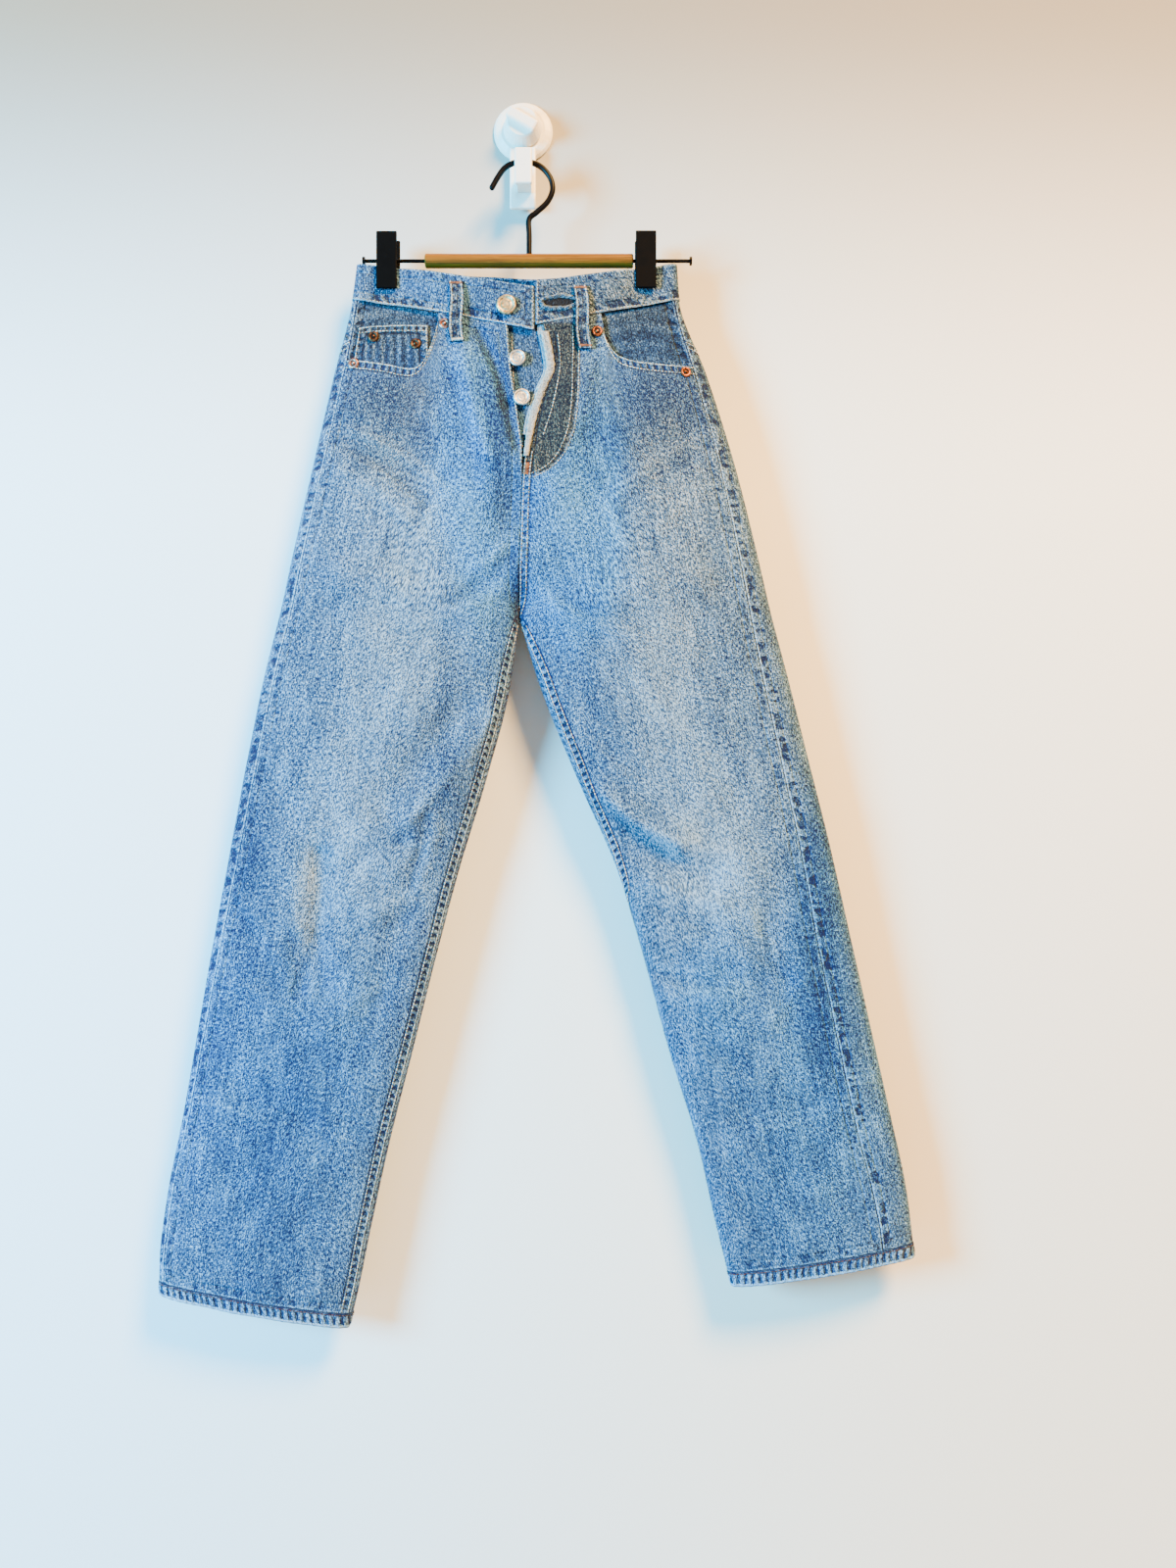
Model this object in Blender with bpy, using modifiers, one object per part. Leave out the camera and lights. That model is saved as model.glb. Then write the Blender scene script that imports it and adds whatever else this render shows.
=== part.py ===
"""Jeans clipped by the waistband to a wooden hanger, which hangs on a wall hook.

Metres, +Z up. The origin is the middle of the wall hook's back face, the wall is the
plane y = 0, and the garment's front looks along -Y. "Right" and "left" are the wearer's.
"""

import math

import bmesh
import bpy
import numpy as np
from mathutils import Matrix, Vector

MM = 0.001

# Cloth.
WALL = 1.2 * MM
BAND_WALL = 2.4 * MM
BAND_PROUD = 0.6 * MM
SEAM_GAP = 0.3 * MM
LAYER_GAP = 0.3 * MM
UNDER_GAP = 0.8 * MM
MID_Y = -30.0 * MM
WAIST_Z = -196.5 * MM
NOSE = 0.75

# Heights, as distances below the waist seam, and sizes of the sewn pieces.
BAND_TOP = -38.0 * MM
HIP = 133.0 * MM
FORK = 248.0 * MM
HEM_TALL = 13.0 * MM
HEM_WALL = 2.2 * MM
HEM_PROUD = 0.4 * MM
LEG_END = {"right": 872.0 * MM, "left": 835.7 * MM}
YOKE_SIDE = 32.0 * MM
YOKE_CENTRE = 62.0 * MM
FACING_DEEP = 98.0 * MM
COIN_COLUMNS = (1, 10)
COIN_TOP = 17.0 * MM
COIN_SLOPE = 5.0 * MM
LOOPS = (("front", -54.2), ("front", 53.0), ("back", -72.0), ("back", 12.7), ("back", 82.0))
LOOP_WIDE = 12.0 * MM
LOOP_ARCH = 2.0 * MM
LOOP_TOP = -36.5 * MM
LOOP_BOTTOM = 12.0 * MM
POCKET_WIDE = 132.0 * MM
POCKET_TALL = 140.0 * MM
POCKET_POINT = 22.0 * MM
POCKET_GAP = 0.5 * MM
POCKET_TOP = 62.0 * MM
POCKET_TAPER = 0.14
POCKET_TILT = 0.10
POCKET_X = {"right": -92.0 * MM, "left": 96.0 * MM}
UNDERLAP_LEVELS = (2.0 * MM, 118.0 * MM)
UNDERLAP_BESIDE = {"right": 8.0 * MM, "left": 12.0 * MM}
FLY_FACING_LEVELS = (2.0 * MM, 92.0 * MM)
FLY_FACING_EDGES = (-5.5 * MM, 26.0 * MM)

# The outer edge of each half, in millimetres: below the waist seam, x, z. The outer edge
# is higher than the centre at each level, because the waist sags and the legs splay.
OUTER_COLUMNS = ("below", "x", "z")
OUTER_EDGE = {
    "right": (
        (-38.0, -144.4, -132.9),
        (0.0, -148.7, -165.0),
        (58.0, -165.2, -231.8),
        (133.0, -184.2, -313.9),
        (205.0, -201.0, -388.2),
        (248.0, -211.4, -436.6),
        (310.0, -226.1, -495.4),
        (390.0, -241.6, -570.6),
        (470.0, -255.9, -646.7),
        (550.0, -270.0, -722.7),
        (630.0, -283.7, -800.5),
        (710.0, -297.2, -878.3),
        (790.0, -312.5, -956.9),
        (840.0, -318.6, -1008.8),
        (872.0, -319.0, -1039.1),
    ),
    "left": (
        (-38.0, 136.5, -132.9),
        (0.0, 139.1, -165.3),
        (58.0, 163.7, -231.8),
        (133.0, 189.2, -313.9),
        (205.0, 207.8, -388.2),
        (248.0, 219.0, -436.6),
        (310.0, 234.4, -495.4),
        (390.0, 253.3, -570.6),
        (470.0, 271.7, -644.1),
        (550.0, 288.9, -720.1),
        (630.0, 306.5, -798.8),
        (710.0, 324.2, -877.5),
        (780.0, 339.5, -949.2),
        (835.7, 346.5, -1006.2),
    ),
}

# The centre seam down to the fork, and each leg's inner edge below it, in millimetres.
CENTRE_COLUMNS = ("below", "x")
CENTRE_LINE = ((-38.0, 12.7), (0.0, 12.7), (58.0, 8.7), (133.0, 2.0), (205.0, -0.8), (248.0, -1.8))
INNER_EDGE = {
    "right": (
        (248.0, -1.8),
        (310.0, -10.2),
        (390.0, -30.8),
        (470.0, -54.9),
        (550.0, -76.1),
        (630.0, -96.0),
        (710.0, -116.2),
        (790.0, -133.6),
        (840.0, -143.7),
        (872.0, -151.3),
    ),
    "left": (
        (248.0, -1.8),
        (310.0, 17.2),
        (390.0, 49.5),
        (470.0, 84.5),
        (550.0, 108.8),
        (630.0, 130.6),
        (710.0, 155.2),
        (780.0, 171.1),
        (835.7, 184.9),
    ),
}

# How far the cloth stands in front of and behind the middle plane, in millimetres, the
# angle where a section meets the centre (180 closes it as a leg), and the lift of the
# centre back and of the left half's centre front.
DEPTH_COLUMNS = ("below", "front", "back", "closing", "back_lift", "left_lift")
DEPTHS = (
    (-38.0, 16.0, 17.0, 90.0, 20.0, 5.0),
    (0.0, 16.0, 18.0, 90.0, 18.0, 5.0),
    (58.0, 20.0, 22.0, 90.0, 10.0, 2.0),
    (133.0, 24.0, 24.0, 93.0, 4.0, 0.0),
    (205.0, 24.0, 24.0, 125.0, 0.0, 0.0),
    (248.0, 23.0, 23.0, 180.0, 0.0, 0.0),
    (310.0, 22.0, 22.0, 180.0, 0.0, 0.0),
    (390.0, 20.0, 21.0, 180.0, 0.0, 0.0),
    (550.0, 18.0, 18.0, 180.0, 0.0, 0.0),
    (710.0, 16.0, 15.5, 180.0, 0.0, 0.0),
    (880.0, 14.0, 13.5, 180.0, 0.0, 0.0),
)

# How far each seam shows in from the leg's outer and inner edge, on the front, in
# millimetres. A negative inseam runs on the back.
SEAM_COLUMNS = ("below", "outseam", "inseam")
SEAMS = {
    "right": (
        (-38.0, 4.3, 0.0),
        (0.0, 4.5, 0.0),
        (58.0, 10.0, 0.0),
        (248.0, 12.0, 0.0),
        (310.0, 12.0, 3.0),
        (550.0, 9.5, 2.0),
        (710.0, 7.0, 3.0),
        (872.0, 5.5, 3.0),
    ),
    "left": (
        (-38.0, 3.0, 0.0),
        (0.0, 4.0, 0.0),
        (58.0, 11.0, 0.0),
        (133.0, 15.0, 0.0),
        (248.0, 20.0, 0.0),
        (310.0, 24.0, 5.0),
        (390.0, 26.0, 4.0),
        (470.0, 28.0, 1.0),
        (550.0, 31.0, -3.0),
        (710.0, 33.0, -4.0),
        (836.0, 28.0, -4.0),
    ),
}

# Where the two front panels end at the open fly, in millimetres either side of the
# centre line.
FLY_COLUMNS = ("below", "right_edge", "left_edge")
FLY = (
    (0.0, 24.0, 6.5),
    (20.0, 21.5, 11.5),
    (34.0, 19.0, 14.0),
    (52.0, 14.5, 8.5),
    (81.0, 7.5, 2.2),
    (103.0, 2.5, 1.0),
    (125.0, 0.0, 0.0),
)

# The largest folds: the face, the two ends (x, z), the height (a trough is negative) and
# the half width, in millimetres.
FOLDS = (
    ("front", -118.0, -115.0, -117.0, -156.0, -8.0, 20.0),
    ("front", 109.0, -115.0, 110.0, -156.0, -8.0, 20.0),
    ("front", -46.0, -232.0, -14.0, -318.0, 5.0, 22.0),
    ("front", -10.0, -330.0, -4.0, -372.0, -5.0, 16.0),
    ("front", 48.0, -250.0, 32.0, -330.0, 4.0, 18.0),
    ("front", -150.0, -285.0, -70.0, -330.0, -3.0, 15.0),
    ("front", 150.0, -290.0, 70.0, -345.0, -3.0, 15.0),
    ("front", -40.0, -440.0, -150.0, -410.0, 3.0, 18.0),
    ("front", 40.0, -440.0, 150.0, -415.0, 3.0, 18.0),
    ("front", -22.0, -530.0, -94.0, -625.0, 4.0, 16.0),
    ("front", -50.0, -530.0, -120.0, -610.0, -4.0, 16.0),
    ("front", -175.0, -655.0, -178.0, -765.0, -3.5, 14.0),
    ("front", -100.0, -690.0, -128.0, -790.0, -3.0, 13.0),
    ("front", -240.0, -860.0, -190.0, -880.0, -2.5, 16.0),
    ("front", 73.0, -600.0, 136.0, -642.0, 5.0, 15.0),
    ("front", 100.0, -645.0, 160.0, -672.0, -4.0, 15.0),
    ("front", 118.0, -752.0, 205.0, -762.0, -4.0, 13.0),
    ("front", 215.0, -700.0, 235.0, -800.0, -3.0, 16.0),
    ("front", 200.0, -880.0, 260.0, -868.0, -2.5, 16.0),
    ("back", -118.0, -115.0, -117.0, -156.0, -8.0, 20.0),
    ("back", 109.0, -115.0, 110.0, -156.0, -8.0, 20.0),
    ("back", -3.0, -290.0, -3.0, -370.0, -5.0, 15.0),
    ("back", -30.0, -440.0, -170.0, -425.0, -4.0, 16.0),
    ("back", 30.0, -440.0, 175.0, -425.0, -4.0, 16.0),
    ("back", -60.0, -480.0, -180.0, -462.0, 3.0, 15.0),
    ("back", 60.0, -480.0, 180.0, -462.0, 3.0, 15.0),
    ("back", -95.0, -700.0, -235.0, -722.0, -3.5, 14.0),
    ("back", -110.0, -745.0, -240.0, -752.0, -3.0, 13.0),
    ("back", 120.0, -710.0, 260.0, -700.0, -3.5, 14.0),
    ("back", 135.0, -752.0, 270.0, -745.0, -3.0, 13.0),
)

# The pocket mouths, cut down from the waist seam to the outseam: x, z in millimetres.
MOUTHS = {
    "right": (
        (-71.4, -180.0),
        (-72.0, -190.0),
        (-76.5, -206.0),
        (-82.5, -220.5),
        (-91.0, -228.5),
        (-103.0, -228.0),
        (-118.0, -224.5),
        (-142.5, -220.5),
        (-175.0, -218.0),
    ),
    "left": (
        (70.7, -180.0),
        (71.0, -194.0),
        (75.0, -206.0),
        (84.4, -217.3),
        (100.0, -222.5),
        (120.0, -224.5),
        (142.0, -225.5),
        (175.0, -226.0),
    ),
}

# Grid sizes of the cloth walls: columns across a piece, rows down it.
FRONT_COLUMNS = 16
BACK_COLUMNS = 17
UPPER_ROWS = 10
UPPER_BACK_ROWS = 6
SEAT_ROWS = 7
LEG_ROWS = 16
YOKE_ROWS = 4
BAND_COLUMNS = 19
BAND_ROWS = 4
HEM_COLUMNS = 28
FACING_COLUMNS = 13

# Buttons and rivets: x, z in millimetres on the front.
WAIST_BUTTON = (-12.0, -175.4)
FLY_BUTTONS = ((-2.8, -221.5), (1.2, -256.4))
RIVETS = (
    ("front_right", -66.2, -190.5),
    ("side_right", -146.0, -223.6),
    ("coin_pocket", -128.5, -200.0),
    ("coin_pocket", -91.5, -207.5),
    ("front_left", 66.5, -197.5),
    ("front_left", 143.7, -231.5),
)
WAIST_BUTTON_RADIUS = 8.5 * MM
WAIST_BUTTON_THICK = 2.6 * MM
WAIST_BUTTON_SHANK = 2.0 * MM
FLY_BUTTON_RADIUS = 7.25 * MM
FLY_BUTTON_THICK = 2.2 * MM
FLY_BUTTON_PROUD = 0.9 * MM
BUTTON_SEAT = 3.0 * MM
RIVET_RADIUS = 4.5 * MM
RIVET_THICK = 1.5 * MM
RIVET_DISH = 0.6 * MM

# Hanger.
HANGER_Z = -129.4 * MM
BAR_RADIUS = 6.0 * MM
BAR_ENDS = (-84.8 * MM, 98.5 * MM)
ROD_RADIUS = 1.6 * MM
ROD_ENDS = (-139.9 * MM, 150.3 * MM)
ROD_CAP_RADIUS = 3.7 * MM
ROD_CAP_WIDE = 2.0 * MM
WIRE_RADIUS = 1.75 * MM
# The wire's route, x, z in millimetres, from the bar up and over the wall hook.
WIRE_ROUTE = (
    (6.8, -123.0),
    (6.8, -106.5),
    (6.8, -92.7),
    (13.8, -86.0),
    (23.0, -77.1),
    (27.4, -66.7),
    (25.6, -56.5),
    (18.8, -47.6),
    (10.3, -43.0),
    (1.7, -42.5),
    (-7.0, -43.0),
    (-14.8, -47.4),
    (-20.6, -55.0),
    (-26.0, -64.5),
)
CLIP_X = {"right": -117.5 * MM, "left": 109.4 * MM}
CLIP_WIDE = 18.0 * MM
CLIP_PLATE = 2.4 * MM
CLIP_EDGE = 0.8 * MM
CLIP_JAW_TALL = 17.0 * MM
CLIP_TOP = -107.0 * MM
CLIP_BOTTOM = -157.0 * MM
CLIP_SEAT = 0.95 * MM
CLIP_BLOCK = (11.0 * MM, 8.4 * MM)

# Wall hook: a suction disc, a knob with a lever across it, and a J-shaped arm.
DISC_RADIUS = 26.7 * MM
DISC_DEEP = 6.0 * MM
KNOB_RADIUS = 17.6 * MM
KNOB_FACE_RADIUS = 14.0 * MM
KNOB_DEEP = 14.0 * MM
LEVER_LONG = 29.0 * MM
LEVER_WIDE = 11.0 * MM
LEVER_DEEP = 5.0 * MM
LEVER_TILT = math.radians(-30)
LEVER_EDGE = 2.2 * MM
ARM_WIDE = 23.3 * MM
ARM_PLATE = 5.0 * MM
ARM_TOP = -18.2 * MM
ARM_BOTTOM = -73.3 * MM
ARM_EDGE = 1.5 * MM
LIP_X = 2.0 * MM
LIP_WIDE = 15.4 * MM
LIP_DEEP = 5.0 * MM
LIP_TOP = -32.8 * MM
LIP_BOTTOM = -64.6 * MM
LIP_BACK = -33.4 * MM
BRIDGE_TOP = -45.1 * MM
BRIDGE_BOTTOM = -60.0 * MM

# Colours as scene-linear values with roughness and metallic.
FINISHES = {
    "denim": ((0.165, 0.275, 0.375), 0.9, 0.0),
    "denim_dark": ((0.06, 0.09, 0.12), 0.9, 0.0),
    "pale_metal": ((0.78, 0.72, 0.58), 0.35, 1.0),
    "copper": ((0.48, 0.27, 0.17), 0.4, 1.0),
    "wood": ((0.36, 0.22, 0.09), 0.55, 0.0),
    "black_metal": ((0.012, 0.013, 0.015), 0.4, 1.0),
    "black_plastic": ((0.012, 0.013, 0.015), 0.45, 0.0),
    "white_plastic": ((0.74, 0.73, 0.68), 0.35, 0.0),
}


def clear_scene():
    for obj in list(bpy.data.objects):
        bpy.data.objects.remove(obj)


def new_collection(name, hidden=False):
    collection = bpy.data.collections.new(name)
    collection.hide_render = hidden
    bpy.context.scene.collection.children.link(collection)
    return collection


def finish(obj, name):
    colour, roughness, metallic = FINISHES[name]
    material = bpy.data.materials.new(obj.name + "_" + name)
    material.use_nodes = True
    shader = material.node_tree.nodes["Principled BSDF"]
    shader.inputs["Base Color"].default_value = (*colour, 1.0)
    shader.inputs["Roughness"].default_value = roughness
    shader.inputs["Metallic"].default_value = metallic
    material.diffuse_color = (*colour, 1.0)
    obj.data.materials.append(material)


def smooth_curve(table, column, at):
    """Reads a column of a table at given places, on a smooth curve that never overshoots.

    Each row's slope is the harmonic mean of the slopes beside it, or zero at a turn.
    """
    rows = np.array(table, dtype=float)
    place, value = rows[:, 0] * MM, rows[:, column]
    step = np.diff(place)
    rise = np.diff(value) / step
    slope = np.empty(len(value))
    slope[0], slope[-1] = rise[0], rise[-1]
    same = rise[:-1] * rise[1:] > 0
    total = np.where(same, rise[:-1] + rise[1:], 1.0)
    slope[1:-1] = np.where(same, 2.0 * rise[:-1] * rise[1:] / total, 0.0)
    at = np.clip(at, place[0], place[-1])
    row = np.clip(np.searchsorted(place, at, side="right") - 1, 0, len(step) - 1)
    t = (at - place[row]) / step[row]
    start, end = value[row], value[row + 1]
    bend_start, bend_end = slope[row] * step[row], slope[row + 1] * step[row]
    return (
        (2 * t**3 - 3 * t**2 + 1) * start
        + (t**3 - 2 * t**2 + t) * bend_start
        + (3 * t**2 - 2 * t**3) * end
        + (t**3 - t**2) * bend_end
    )


def centre_x(below):
    return smooth_curve(CENTRE_LINE, CENTRE_COLUMNS.index("x"), below) * MM


def depth_value(name, below):
    return smooth_curve(DEPTHS, DEPTH_COLUMNS.index(name), below)


def closing_angle(below):
    return np.radians(depth_value("closing", below))


def edges(side, below):
    """The outer point (x, z) and the inner point's x of a half's section."""
    outer_x = smooth_curve(OUTER_EDGE[side], OUTER_COLUMNS.index("x"), below) * MM
    outer_z = smooth_curve(OUTER_EDGE[side], OUTER_COLUMNS.index("z"), below) * MM
    leg_x = smooth_curve(INNER_EDGE[side], CENTRE_COLUMNS.index("x"), below) * MM
    gap = -SEAM_GAP / 2 if side == "right" else SEAM_GAP / 2
    inner_x = np.where(below <= FORK, centre_x(below), leg_x) + gap
    return outer_x, outer_z, inner_x


def fold_height(front, x, z):
    """Sum of soft ridges and troughs: height * exp(-(distance / width)^2) from each line."""
    total = np.zeros(np.shape(x))
    for face, x0, z0, x1, z1, height, wide in FOLDS:
        start = np.array((x0, z0)) * MM
        run = np.array((x1, z1)) * MM - start
        along = ((x - start[0]) * run[0] + (z - start[1]) * run[1]) / (run @ run)
        along = np.clip(along, 0.0, 1.0)
        away = np.hypot(x - start[0] - along * run[0], z - start[1] - along * run[1])
        on_face = front if face == "front" else ~front
        total += np.where(on_face, height * MM * np.exp(-((away / (wide * MM)) ** 2)), 0.0)
    return total


def skin(side, below, turn, inset=0.0):
    """Points of one half of the trousers, at a depth of inset under its outer face.

    turn runs round the section: 0 at the outer edge, positive on the front, negative on
    the back. The way across is (1 - cos turn) / (1 - cos closing), and the depth is the
    half depth times |sin turn| to the power NOSE, plus the folds.
    """
    below, turn = np.broadcast_arrays(np.asarray(below, float), np.asarray(turn, float))
    outer_x, outer_z, inner_x = edges(side, below)
    closing = closing_angle(below)
    inward = 1.0 if side == "right" else -1.0
    outer_x = outer_x + inward * inset
    inner_x = inner_x - inward * inset * np.maximum(0.0, -np.cos(closing))
    across = (1 - np.cos(turn)) / (1 - np.cos(closing))
    front = np.sin(turn) >= 0
    lift = np.where(front, 0.0, depth_value("back_lift", below))
    if side == "left":
        lift = np.where(front, depth_value("left_lift", below) * across, lift)
    x = outer_x + (inner_x - outer_x) * across
    z = outer_z + (WAIST_Z - below - outer_z + lift * MM) * across
    half = np.where(front, depth_value("front", below), depth_value("back", below)) * MM
    round_off = np.abs(np.sin(turn))
    depth = (half - inset) * round_off**NOSE + fold_height(front, x, z) * round_off**0.5
    y = MID_Y - np.where(front, depth, -depth)
    return np.stack([x, y, z], axis=-1)


def turn_at(side, below, away, from_inner=False):
    """The turn, on the front, at a distance in from the outer or the inner edge."""
    outer_x, _, inner_x = edges(side, below)
    across = away / np.abs(inner_x - outer_x)
    if from_inner:
        across = 1 - across
    return np.arccos(np.clip(1 - across * (1 - np.cos(closing_angle(below))), -1, 1))


def seam_gap_turn(side, below, turn):
    """Half a seam's gap as a turn."""
    small = 0.01
    chord = skin(side, below, turn + small) - skin(side, below, turn - small)
    speed = np.linalg.norm(chord, axis=-1) / (2 * small)
    return SEAM_GAP / 2 / speed


def outseam_turn(side, below):
    away = smooth_curve(SEAMS[side], SEAM_COLUMNS.index("outseam"), below) * MM
    return turn_at(side, below, away)


def inner_turn(side, below):
    """Where the front panel ends: the centre seam, and the inseam under the fork."""
    away = smooth_curve(SEAMS[side], SEAM_COLUMNS.index("inseam"), below) * MM
    turn = turn_at(side, below, np.abs(away), from_inner=True)
    turn = np.where(away < 0, 2 * math.pi - turn, turn)
    return np.where(below <= FORK, closing_angle(below), turn)


def fly_turn(side, below):
    """Where the front panel ends at the open fly."""
    away = smooth_curve(FLY, FLY_COLUMNS.index(side + "_edge"), below) * MM
    return turn_at(side, below, away, from_inner=True)


def front_turns(side, below):
    start = outseam_turn(side, below)
    end = np.minimum(inner_turn(side, below), fly_turn(side, below))
    end = np.where(below < FLY[-1][0] * MM, end, inner_turn(side, below))
    return start + seam_gap_turn(side, below, start), end - seam_gap_turn(side, below, end)


def back_turns(side, below):
    """From the outseam round the outer edge and the back to the centre back or inseam."""
    start = outseam_turn(side, below)
    end = np.where(below <= FORK, -closing_angle(below), inner_turn(side, below) - 2 * math.pi)
    return start - seam_gap_turn(side, below, start), end + seam_gap_turn(side, below, end)


def wall_mesh(name, outer, inner, ring=False):
    """A closed wall between two grids of points, with its rims. A ring joins its ends."""
    rows, columns = outer.shape[:2]
    mesh = bpy.data.meshes.new(name)
    points = np.concatenate([outer.reshape(-1, 3), inner.reshape(-1, 3)])
    layer = rows * columns
    across = range(columns) if ring else range(columns - 1)
    faces = []
    for r in range(rows - 1):
        for c in across:
            d = (c + 1) % columns
            a, b, e, f = r * columns + c, r * columns + d, (r + 1) * columns + d, (r + 1) * columns + c
            faces.append((a, b, e, f))
            faces.append((a + layer, f + layer, e + layer, b + layer))
    for r in (0, rows - 1):
        for c in across:
            a, b = r * columns + c, r * columns + (c + 1) % columns
            faces.append((a, a + layer, b + layer, b))
    if not ring:
        for c in (0, columns - 1):
            for r in range(rows - 1):
                a, b = r * columns + c, (r + 1) * columns + c
                faces.append((a, a + layer, b + layer, b))
    mesh.from_pydata(points.tolist(), [], faces)
    shape = bmesh.new()
    shape.from_mesh(mesh)
    bmesh.ops.recalc_face_normals(shape, faces=shape.faces)
    if shape.calc_volume(signed=True) < 0:
        bmesh.ops.reverse_faces(shape, faces=shape.faces)
    shape.to_mesh(mesh)
    shape.free()
    mesh.shade_smooth()
    mesh.set_sharp_from_angle(angle=math.radians(50))
    return mesh


def add_object(name, mesh, finish_name):
    obj = bpy.data.objects.new(name, mesh)
    bpy.data.collections["jeans_on_hanger"].objects.link(obj)
    finish(obj, finish_name)
    return obj


def add_wall(name, outer, inner, finish_name="denim", ring=False):
    return add_object(name, wall_mesh(name, outer, inner, ring), finish_name)


def front_grid_turns(side, below):
    """Turns of a front grid, whose rows are level."""
    start, end = front_turns(side, below)
    share = np.linspace(0.0, 1.0, FRONT_COLUMNS)
    return start * (1 - share) + end * share


def shared_rows(side):
    """Levels from the hip down that the front and the back share, one at the fork."""
    end = LEG_END[side] - HEM_TALL - SEAM_GAP / 2
    seat = np.linspace(HIP, FORK, SEAT_ROWS)
    leg = FORK + (end - FORK) * np.linspace(0.0, 1.0, LEG_ROWS) ** 1.35
    return np.concatenate([seat, leg[1:]])


def front_rows(side):
    upper = np.linspace(SEAM_GAP / 2, HIP, UPPER_ROWS)
    return np.concatenate([upper[:-1], shared_rows(side)])


def make_front(side):
    """The front panel, its pocket mouth cut away."""
    below = front_rows(side)[:, None]
    turn = front_grid_turns(side, below)
    panel = add_wall("front_" + side, skin(side, below, turn), skin(side, below, turn, WALL))
    cut = panel.modifiers.new("pocket_mouth", "BOOLEAN")
    cut.operation = "DIFFERENCE"
    cut.object = mouth_cutter(side)
    return panel


def mouth_cutter(side):
    """The pocket mouth's outline, closed above the waist, pushed through the front."""
    inward = 1.0 if side == "right" else -1.0
    outline = [(x * MM, z * MM) for x, z in MOUTHS[side]]
    outline.append((outline[-1][0] - inward * 0.02, outline[-1][1] + 0.09))
    outline.append((outline[0][0], outline[-1][1]))
    shape = bmesh.new()
    corners = [shape.verts.new((x, MID_Y - 0.06, z)) for x, z in outline]
    flat = shape.faces.new(corners)
    pushed = bmesh.ops.extrude_face_region(shape, geom=[flat])["geom"]
    moved = [v for v in pushed if isinstance(v, bmesh.types.BMVert)]
    bmesh.ops.translate(shape, verts=moved, vec=(0.0, 0.06, 0.0))
    bmesh.ops.recalc_face_normals(shape, faces=shape.faces)
    if shape.calc_volume(signed=True) < 0:
        bmesh.ops.reverse_faces(shape, faces=shape.faces)
    mesh = bpy.data.meshes.new("mouth_" + side)
    shape.to_mesh(mesh)
    shape.free()
    cutter = bpy.data.objects.new("mouth_" + side, mesh)
    cutter.display_type = "WIRE"
    cutter.hide_render = True
    bpy.data.collections["cutters"].objects.link(cutter)
    return cutter


def yoke_seam(columns):
    """Level of the yoke seam from the outseam to the centre back."""
    return YOKE_SIDE + (YOKE_CENTRE - YOKE_SIDE) * np.linspace(0.0, 1.0, columns)


def make_back(side):
    """The back panel, whose top row follows the yoke seam."""
    columns = BACK_COLUMNS
    top = yoke_seam(columns)[None, :] + SEAM_GAP / 2
    upper = top + (HIP - top) * np.linspace(0.0, 1.0, UPPER_BACK_ROWS)[:-1, None]
    lower = np.repeat(shared_rows(side)[:, None], columns, axis=1)
    below = np.concatenate([upper, lower])
    turn = back_grid_turns(side, below)
    add_wall("back_" + side, skin(side, below, turn), skin(side, below, turn, WALL))


def back_grid_turns(side, below):
    """Turns of a back grid whose rows are not level: each point is set at its own level."""
    start, end = back_turns(side, below)
    share = np.linspace(0.0, 1.0, below.shape[1])[None, :]
    return start * (1 - share) + end * share


def make_yoke(side):
    columns = BACK_COLUMNS
    share = np.linspace(0.0, 1.0, YOKE_ROWS)[:, None]
    top = SEAM_GAP / 2
    below = top + (yoke_seam(columns)[None, :] - SEAM_GAP / 2 - top) * share
    turn = back_grid_turns(side, below)
    add_wall("yoke_" + side, skin(side, below, turn), skin(side, below, turn, WALL))


def make_waistband():
    """One strip from the right half's centre front, round the back, to the left half's."""
    below = np.linspace(BAND_TOP, -SEAM_GAP / 2, BAND_ROWS)[:, None]
    turns = np.linspace(math.pi / 2 - 0.003, -math.pi / 2, BAND_COLUMNS)[None, :]
    layers = []
    for inset in (-BAND_PROUD, BAND_WALL - BAND_PROUD):
        right = skin("right", below, turns, inset)
        left = skin("left", below, turns[:, ::-1], inset)
        layers.append(np.concatenate([right[:, :-1], left], axis=1))
    add_wall("waistband", *layers)


def make_hem(side):
    """The turned-up end of a leg, a ring a little proud of the panels."""
    below = np.array([LEG_END[side] - HEM_TALL + SEAM_GAP / 2, LEG_END[side]])[:, None]
    turn = np.linspace(-math.pi, math.pi, HEM_COLUMNS, endpoint=False)[None, :]
    outer = skin(side, below, turn, -HEM_PROUD)
    inner = skin(side, below, turn, HEM_WALL - HEM_PROUD)
    add_wall("hem_" + side, outer, inner, ring=True)


def facing_inset():
    return WALL + LAYER_GAP + WALL + UNDER_GAP


def facing_grid(side, inset, columns):
    """The front's own first columns and rows, moved inwards."""
    below = front_rows(side)
    below = below[below < FACING_DEEP][:, None]
    turn = front_grid_turns(side, below)[:, columns]
    return skin(side, below, turn, inset)


def make_facing(side):
    columns = slice(0, FACING_COLUMNS)
    inset = facing_inset()
    outer = facing_grid(side, inset, columns)
    inner = facing_grid(side, inset + WALL, columns)
    add_wall("pocket_facing_" + side, outer, inner, "denim_dark")


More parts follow.
